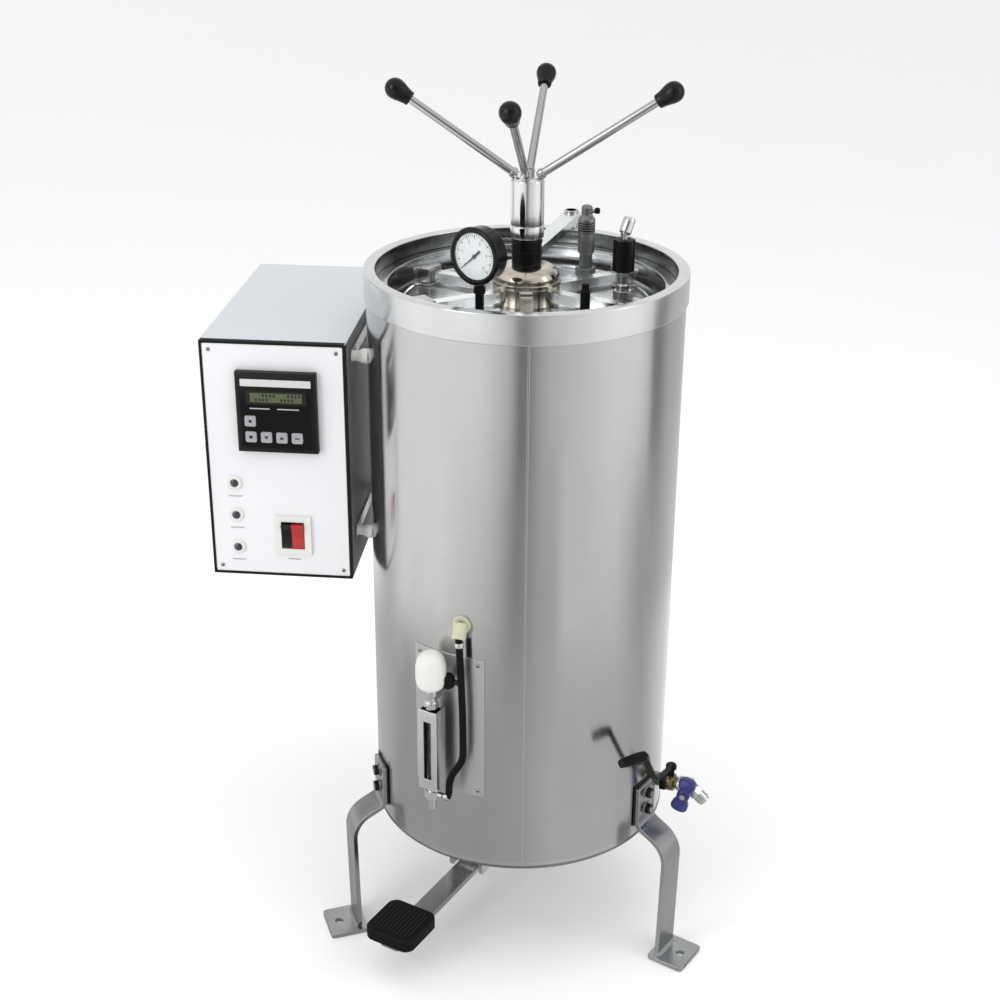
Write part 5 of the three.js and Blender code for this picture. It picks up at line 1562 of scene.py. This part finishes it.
# ---- pedal and lift ----
def pedal():
    pivot = local_point("pedal_press")
    axis = Vector(JOINTS["pedal_press"]["axis"])
    turn = math.atan2(axis.x, -axis.y)
    place = Matrix.Translation(pivot) @ Matrix.Rotation(turn, 4, "Z")
    pad_low, pad_high = (b.z - pivot.z for b in local_box("pedal_pad"))
    top = pad_low - 0.3
    outline = rounded(
        [(-203, -13), (-150, -15), (249, -15), (249, 15), (-150, 15), (-203, 13)], 3, closed=True,
    )
    bar = prism("pedal_bar", outline, top - 8, top, LEG_STEEL, place, bevel=1.0, segments=3)
    piece(bar, "pedal", "steel_satin", "pedal_lever")
    piece(ring("pedal_boss", 6.5, 12, -19, 19, FITTING, place @ FACE_OUT, 48, 0.8), "pedal", "steel_satin")
    roller = rod(
        "pedal_roller", 8, -11, 11, FITTING, place @ Matrix.Translation((245, 0, 0)) @ FACE_OUT, 48, 1.0,
    )
    piece(roller, "pedal", "steel_satin")
    half, flat = 35, 27
    outline = [
        (-flat, -half), (flat, -half), (half, -flat), (half, flat), (flat, half), (-flat, half),
        (-half, flat), (-half, -flat),
    ]
    outline = rounded([(x - 175, y) for x, y in outline], 5, closed=True)
    pad = prism("pedal_tread", outline, pad_low, pad_high - 1.0, RUBBER, place, bevel=3.2, segments=5)
    piece(settle(pad), "pedal", "rubber_black", "pedal_pad")
    bm = bmesh.new()
    for k in range(11):
        y = -26 + k * 5.2
        reach = 27 if abs(y) < 22 else 23
        add_prism(bm, soft_rectangle(2 * reach, 3.0, 1.4, -175, y), pad_high - 2.2, pad_high - 0.1)
    piece(build("pedal_ribs", bm, RUBBER, place, bevel=0.5), "pedal", "rubber_black")


CLAMP_HEIGHTS = (230, 810)


def lift_guide():
    low, high = local_box("lift_guide")
    centre = (low + high) / 2
    azimuth, orbit = azimuth_of(centre), LIFT_ORBIT
    sleeve = ring("guide_sleeve", 9.6, 12.4, low.z, high.z, LEG_STEEL, turned(azimuth, orbit), 48, 0.6)
    piece(sleeve, "frame", "steel_satin", "lift_guide")
    for k, z in enumerate(CLAMP_HEIGHTS):
        outline = soft_rectangle(
            orbit + 13 - SHELL_RADIUS - 0.6, 32, 3, (orbit + 13 + SHELL_RADIUS + 0.6) / 2,
        )
        clamp = prism(f"guide_clamp_{k + 1}", outline, z - 14, z + 14, LEG_STEEL, turned(azimuth), bevel=0)
        bore = rod("bore", 9.6, z - 20, z + 20, LEG_STEEL, turned(azimuth, orbit), 40, 0)
        carve(clamp, bore)
        soften_edges(clamp, 0.9)
        piece(clamp, "frame", "steel_satin")
        for side in (-12, 12):
            head = hex_nut(
                f"clamp_bolt_{k + 1}_{'a' if side < 0 else 'b'}", 8, 0, 4, BLACKENED,
                turned(azimuth) @ Matrix.Translation((orbit - 1, side, z)) @ LIE_OUT, bevel=0.5,
            )
            head.matrix_world = head.matrix_world @ Matrix.Translation((0, 0, 13.4 * MM))
            piece(head, "frame", "steel_satin")


# ---- inside ----
BASKET_RADIUS = 131
HOOP_WIRE, BASE_HOOP_WIRE, MESH_WIRE = 1.8, 2.4, 1.1
UPRIGHTS = 60
BOTTOM_PITCH = 10


def basket():
    low, high = local_box("load_basket")
    top = high.z - 3
    floor = low.z + 37
    bm = bmesh.new()
    for z in (floor + 1.5, floor + 100, floor + 200, floor + 300, top):
        hoop = [around(360 * k / 64, BASKET_RADIUS, z) for k in range(65)]
        add_tube(bm, hoop, HOOP_WIRE if z > floor + 2 else BASE_HOOP_WIRE, 8)
    for k in range(UPRIGHTS):
        azimuth = 360 / UPRIGHTS * k
        add_tube(
            bm, [around(azimuth, BASKET_RADIUS, floor), around(azimuth, BASKET_RADIUS, top)], MESH_WIRE, 6,
        )
    for k in range(-12, 13):
        y = k * BOTTOM_PITCH
        reach = math.sqrt(BASKET_RADIUS ** 2 - y ** 2)
        add_tube(bm, [Vector((-reach, y, floor)), Vector((reach, y, floor))], MESH_WIRE, 6)
    piece(build("basket_wires", bm, BAR_STEEL), "frame", "steel_satin", "load_basket")


def carried_over():
    """CAD nodes whose own shape is shown, with the finish each one gets."""
    finishes = {
        BAR_STEEL: ["spindle", "heating_element"] + [f"lock_bolt_{k}" for k in range(1, 7)],
        FITTING: ["chamber", "bottom_cover"],
        SEAL: ["lid_gasket"],
        WOOL: ["insulation_blanket"],
        GREY: ["power_module"],
        POWDER: ["control_housing"],
        PANEL: ["front_panel"],
        MATT_BLACK: ["controller_case"],
        WHITE: ["switch_frame"],
    }
    for material, nodes in finishes.items():
        for node in nodes:
            slots = frame["nodes"][node].data.materials
            slots.clear()
            slots.append(material)
    for k in range(1, 7):
        soften_edges(frame["nodes"][f"lock_bolt_{k}"], 1.4, 3)
    soften_edges(frame["nodes"]["bottom_cover"], 0.6)


make_camera()
make_studio()
shell()
rim()
locking_ring()
legs()
lid()
lift_frame()
capstan()
pressure_gauge()
lid_fittings()
control_box()
level_gauge()
drain()
pedal()
lift_guide()
basket()
carried_over()
